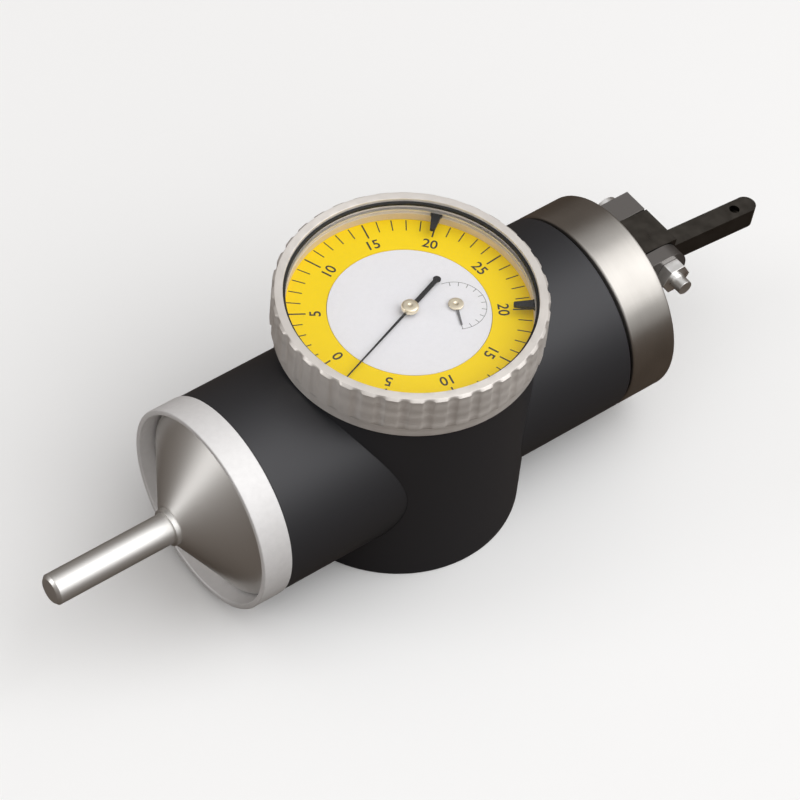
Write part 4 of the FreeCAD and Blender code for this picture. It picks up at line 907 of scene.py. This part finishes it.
class INDICATOR_OT_dial(bpy.types.Operator):
    """White dial plate with the small dial's arc and marks"""
    bl_idname = "indicator.dial"
    bl_label = "Dial"

    def execute(self, context):
        low, outer = DIAL[0][2], DIAL[1][0]
        hole = 0.75 * MM
        plate = turned("printed_dial", np.array([
            (low, hole), (low, outer), (FACE_Z, outer), (FACE_Z, hole)]))
        dress(plate, printed_card("dial_white", colours().white), "body", "white_dial", "dial_plate")
        centre = (COUNTER_HUB[0] + COUNTER_HUB[1])[:2] / 2
        grey = printed_card("grey_ink", (0.22, 0.22, 0.22), 0.6)
        dress(self.arc(centre), grey, "body", "counter_grey")
        return {"FINISHED"}

    def arc(self, centre):
        """The small dial's arc and its marks: short bars placed end to end round part of a circle."""
        radius, line, mark, mark_line = np.array([5.6, 0.05, 0.9, 0.06]) * MM
        turn = np.radians(np.linspace(-117, 80, 60))
        middle = (turn[:-1] + turn[1:]) / 2
        step = (turn[1] - turn[0]) * radius / 2
        marks = np.radians(np.linspace(-115, 65, 11))
        angle = np.concatenate([middle, marks])[:, None]
        low, high = radius - line, radius + line
        along = np.vstack([np.tile([low, high, high, low], (len(middle), 1)),
                           np.tile([radius - mark, radius, radius, radius - mark], (len(marks), 1))])
        half = np.repeat([step, mark_line], [len(middle), len(marks)])[:, None]
        across = half * np.array([-1, -1, 1, 1])
        x = centre[0] + along * np.cos(angle) - across * np.sin(angle)
        y = centre[1] + along * np.sin(angle) + across * np.cos(angle)
        return prisms("small_dial_print", x, y, FACE_Z, sizes().print_height)


class INDICATOR_OT_hands(bpy.types.Operator):
    """Hands, their hubs and the limit markers"""
    bl_idname = "indicator.hands"
    bl_label = "Hands and markers"

    def execute(self, context):
        black = printed_card("hand_black", (0.02, 0.02, 0.022), 0.35)
        hand = bevelled(merged_copy("pointer_hand", "black_pointer_hand"), 0.03 * MM)
        dress(hand, black, "pointer", "pointer_black", "pointer_hand")
        for side in ("upper", "lower"):
            dress(self.marker(side + "_limit_marker"), black, side + "_marker", "black_marker",
                  side + "_limit_marker")
        grey = printed_card("hand_grey", (0.16, 0.16, 0.17), 0.4)
        small = bevelled(merged_copy("counter_hand", "grey_counter_hand"), 0.03 * MM)
        dress(small, grey, "counter", "counter_grey", "counter_hand")
        gold = turned_metal("pale_gold", (0.95, 0.86, 0.68), 0.38, (2.0, 30.0, 1.0), 0.001, 0.2)
        hubs = (("pointer_hub", POINTER_HUB, "pointer"), ("counter_hub", COUNTER_HUB, "counter"))
        for node, span, body in hubs:
            low, high = span[0][2], span[1][2]
            radius = (span[1][0] - span[0][0]) / 2
            centre = (span[0] + span[1]) / 2
            dimple = min(0.25 * radius, 0.3 * MM)
            hub = turned("gold_" + node, rounded([
                (low, 0, 0), (low, radius, 0), (high, radius, (high - low) * 0.45),
                (high, dimple * 1.6, dimple * 0.2), (high - dimple * 0.4, dimple, 0),
                (high - dimple * 0.4, 0, 0)],
                closed=False), centre=(centre[0], centre[1], 0), closed=False, steps=64)
            dress(hub, gold, body, "gold_hub", node)
        return {"FINISHED"}

    def marker(self, node):
        """A wedge that points inwards from a foot in the bezel's groove."""
        low, high = node_box(node)
        middle = (low + high) / 2
        turn = math.atan2(middle[1], middle[0])
        foot, wall, root, tip = np.array([22.8, 22.35, 22.05, 18.6]) * MM
        half_foot, half_root, half_tip = np.array([1.1, 0.9, 0.45]) * MM
        small = sizes().fine_round
        outline = rounded([
            (foot, -half_foot, small), (foot, half_foot, small), (wall, half_foot, small),
            (root, half_root, small), (tip, half_tip, 2 * small), (tip, -half_tip, 2 * small),
            (root, -half_root, small), (wall, -half_foot, small)])
        spin = np.array([[math.cos(turn), math.sin(turn)], [-math.sin(turn), math.cos(turn)]])
        return bevelled(slab("black_" + node, outline @ spin, low[2], high[2]), 0.03 * MM)


class INDICATOR_OT_inner_works(bpy.types.Operator):
    """Finishes on the bearings, springs, screws and movement inside"""
    bl_idname = "indicator.inner_works"
    bl_label = "Inner works"

    def execute(self, context):
        brass = ground_metal("movement_brass", colours().brass, 0.3)
        bright = bright_steel()
        ground = ground_metal("bearing_steel", (0.66, 0.66, 0.67), 0.2)
        wire = ground_metal("spring_wire", (0.42, 0.42, 0.44), 0.32)
        blue = ground_metal("blued_spring", (0.10, 0.14, 0.30), 0.3)
        black = printed_card("blackened_screws", (0.03, 0.03, 0.03), 0.4)
        finishes = {
            brass: ("movement_lower_plate", "movement_upper_plate", "movement_pillars", "dial_feet",
                    "hairspring_stud", "hairspring_collet", "sector", "counter_wheel", "spool", "rear_cage",
                    "front_cage"),
            bright: ("movement_screws", "pillar_screws", "follower_peg", "rear_balls", "front_balls"),
            ground: ("rear_outer_race", "front_outer_race", "rear_inner_race", "front_inner_race", "pull_rod",
                     "cross_pin", "sector_arbor", "counter_arbor", "pointer_arbor"),
            wire: ("return_spring", "spring_washer", "friction_ring"),
            blue: ("hairspring",),
            black: ("back_screws", "ring_screws", "clevis_screws"),
        }
        for material, nodes in finishes.items():
            for node in nodes:
                paint_node(node, material)
        return {"FINISHED"}


class INDICATOR_OT_stage(bpy.types.Operator):
    """Floor, lamps, world and camera"""
    bl_idname = "indicator.stage"
    bl_label = "Stage"

    def execute(self, context):
        self.floor()
        self.world(context)
        self.lamps()
        self.camera(context)
        context.scene.view_settings.view_transform = "Standard"
        return {"FINISHED"}

    def floor(self):
        """A pale square at the height of the back face, shown darker in reflections."""
        half = sizes().floor_width / 2
        mesh = bpy.data.meshes.new("floor")
        corners = [(-half, -half, 0), (half, -half, 0), (half, half, 0), (-half, half, 0)]
        mesh.from_pydata(corners, [], [(0, 1, 2, 3)])
        material, tree, shader = blank_material("studio_floor", colours().floor, 0.0, 0.6)
        shader.inputs["Specular IOR Level"].default_value = 0.1
        self.seen_apart(tree, colours().floor_mirrored, colours().floor, shader, "Base Color")
        mesh.materials.append(material)
        floor = bpy.data.objects.new("floor", mesh)
        bpy.context.scene.collection.objects.link(floor)

    def seen_apart(self, tree, others, direct, target, socket):
        """Gives the camera's own rays one colour and every other ray another."""
        seen = tree.nodes.new("ShaderNodeLightPath")
        mix = tree.nodes.new("ShaderNodeMix")
        mix.data_type = "RGBA"
        mix.inputs["A"].default_value = (*others, 1)
        mix.inputs["B"].default_value = (*direct, 1)
        link(tree, seen, "Is Camera Ray", mix, "Factor")
        link(tree, mix, "Result", target, socket)
        return mix

    def world(self, context):
        """Soft light that is brightest high behind the camera, and white where the camera sees it."""
        world = bpy.data.worlds.new("studio")
        world.use_nodes = True
        tree = world.node_tree
        background = tree.nodes["Background"]
        place = tree.nodes.new("ShaderNodeTexCoord")
        towards = tree.nodes.new("ShaderNodeVectorMath")
        towards.operation = "DOT_PRODUCT"
        towards.inputs[1].default_value = (0.10, -0.42, 0.90)
        sky = ramp(tree, (0.30, (0.15, 0.13, 0.115)), (0.75, (0.94, 0.935, 0.93)))
        mix = self.seen_apart(tree, (0, 0, 0), (1, 1, 1), background, "Color")
        link(tree, place, "Generated", towards, 0)
        link(tree, towards, "Value", sky, "Fac")
        link(tree, sky, "Color", mix, "A")
        context.scene.world = world

    def lamps(self):
        """A broad lamp high over the near side, and a weak one low beside the cone."""
        settings = (("key", (0.39, -0.39, 0.72), 0.95, 3.9), ("side", (-0.80, 0.36, 0.34), 0.3, 1.6))
        for name, place, width, power in settings:
            data = bpy.data.lights.new(name, "AREA")
            data.size = width
            data.energy = power
            lamp = bpy.data.objects.new(name, data)
            lamp.location = place
            lamp.rotation_euler = (-lamp.location).to_track_quat("-Z", "Y").to_euler()
            bpy.context.scene.collection.objects.link(lamp)

    def camera(self, context):
        """The camera stands where the photograph's stood, turned and zoomed to fill the frame."""
        view = context.scene.indicator_view
        data = bpy.data.cameras.new("camera")
        data.sensor_width = 36
        data.lens = view.lens
        data.clip_start = 0.01
        data.clip_end = 50
        camera = bpy.data.objects.new("camera", data)
        turn = (Matrix.Rotation(view.azimuth, 3, "Z") @ Matrix.Rotation(math.pi / 2 - view.elevation, 3, "X")
                @ Matrix.Rotation(view.roll, 3, "Z"))
        camera.matrix_world = Matrix.Translation(view.place) @ turn.to_4x4()
        bpy.context.scene.collection.objects.link(camera)
        context.scene.camera = camera


class INDICATOR_PT_panel(bpy.types.Panel):
    """Lists the steps that dress the indicator"""
    bl_idname = "INDICATOR_PT_panel"
    bl_label = "Centering indicator"
    bl_space_type = "VIEW_3D"
    bl_region_type = "UI"
    bl_category = "Indicator"

    def draw(self, context):
        column = self.layout.column()
        scene = context.scene
        for group in (scene.indicator_sizes, scene.indicator_colours, scene.indicator_view):
            for name in group.__annotations__:
                column.prop(group, name)
        for step in STEPS:
            column.operator(step.bl_idname)


GROUPS = (IndicatorSizes, IndicatorColours, IndicatorView)
STEPS = (
    INDICATOR_OT_barrel,
    INDICATOR_OT_cone_ring,
    INDICATOR_OT_spindle,
    INDICATOR_OT_head,
    INDICATOR_OT_feeler_end,
    INDICATOR_OT_bezel,
    INDICATOR_OT_crystal,
    INDICATOR_OT_scale,
    INDICATOR_OT_dial,
    INDICATOR_OT_hands,
    INDICATOR_OT_inner_works,
    INDICATOR_OT_stage,
)


def register():
    for group in GROUPS + STEPS + (INDICATOR_PT_panel,):
        bpy.utils.register_class(group)
    bpy.types.Scene.indicator_sizes = bpy.props.PointerProperty(type=IndicatorSizes)
    bpy.types.Scene.indicator_colours = bpy.props.PointerProperty(type=IndicatorColours)
    bpy.types.Scene.indicator_view = bpy.props.PointerProperty(type=IndicatorView)


def unregister():
    del bpy.types.Scene.indicator_view
    del bpy.types.Scene.indicator_colours
    del bpy.types.Scene.indicator_sizes
    for group in reversed(GROUPS + STEPS + (INDICATOR_PT_panel,)):
        bpy.utils.unregister_class(group)


def main():
    """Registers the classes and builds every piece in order."""
    register()
    for step in STEPS:
        family, name = step.bl_idname.split(".")
        getattr(getattr(bpy.ops, family), name)()


if __name__ == "__main__":
    main()
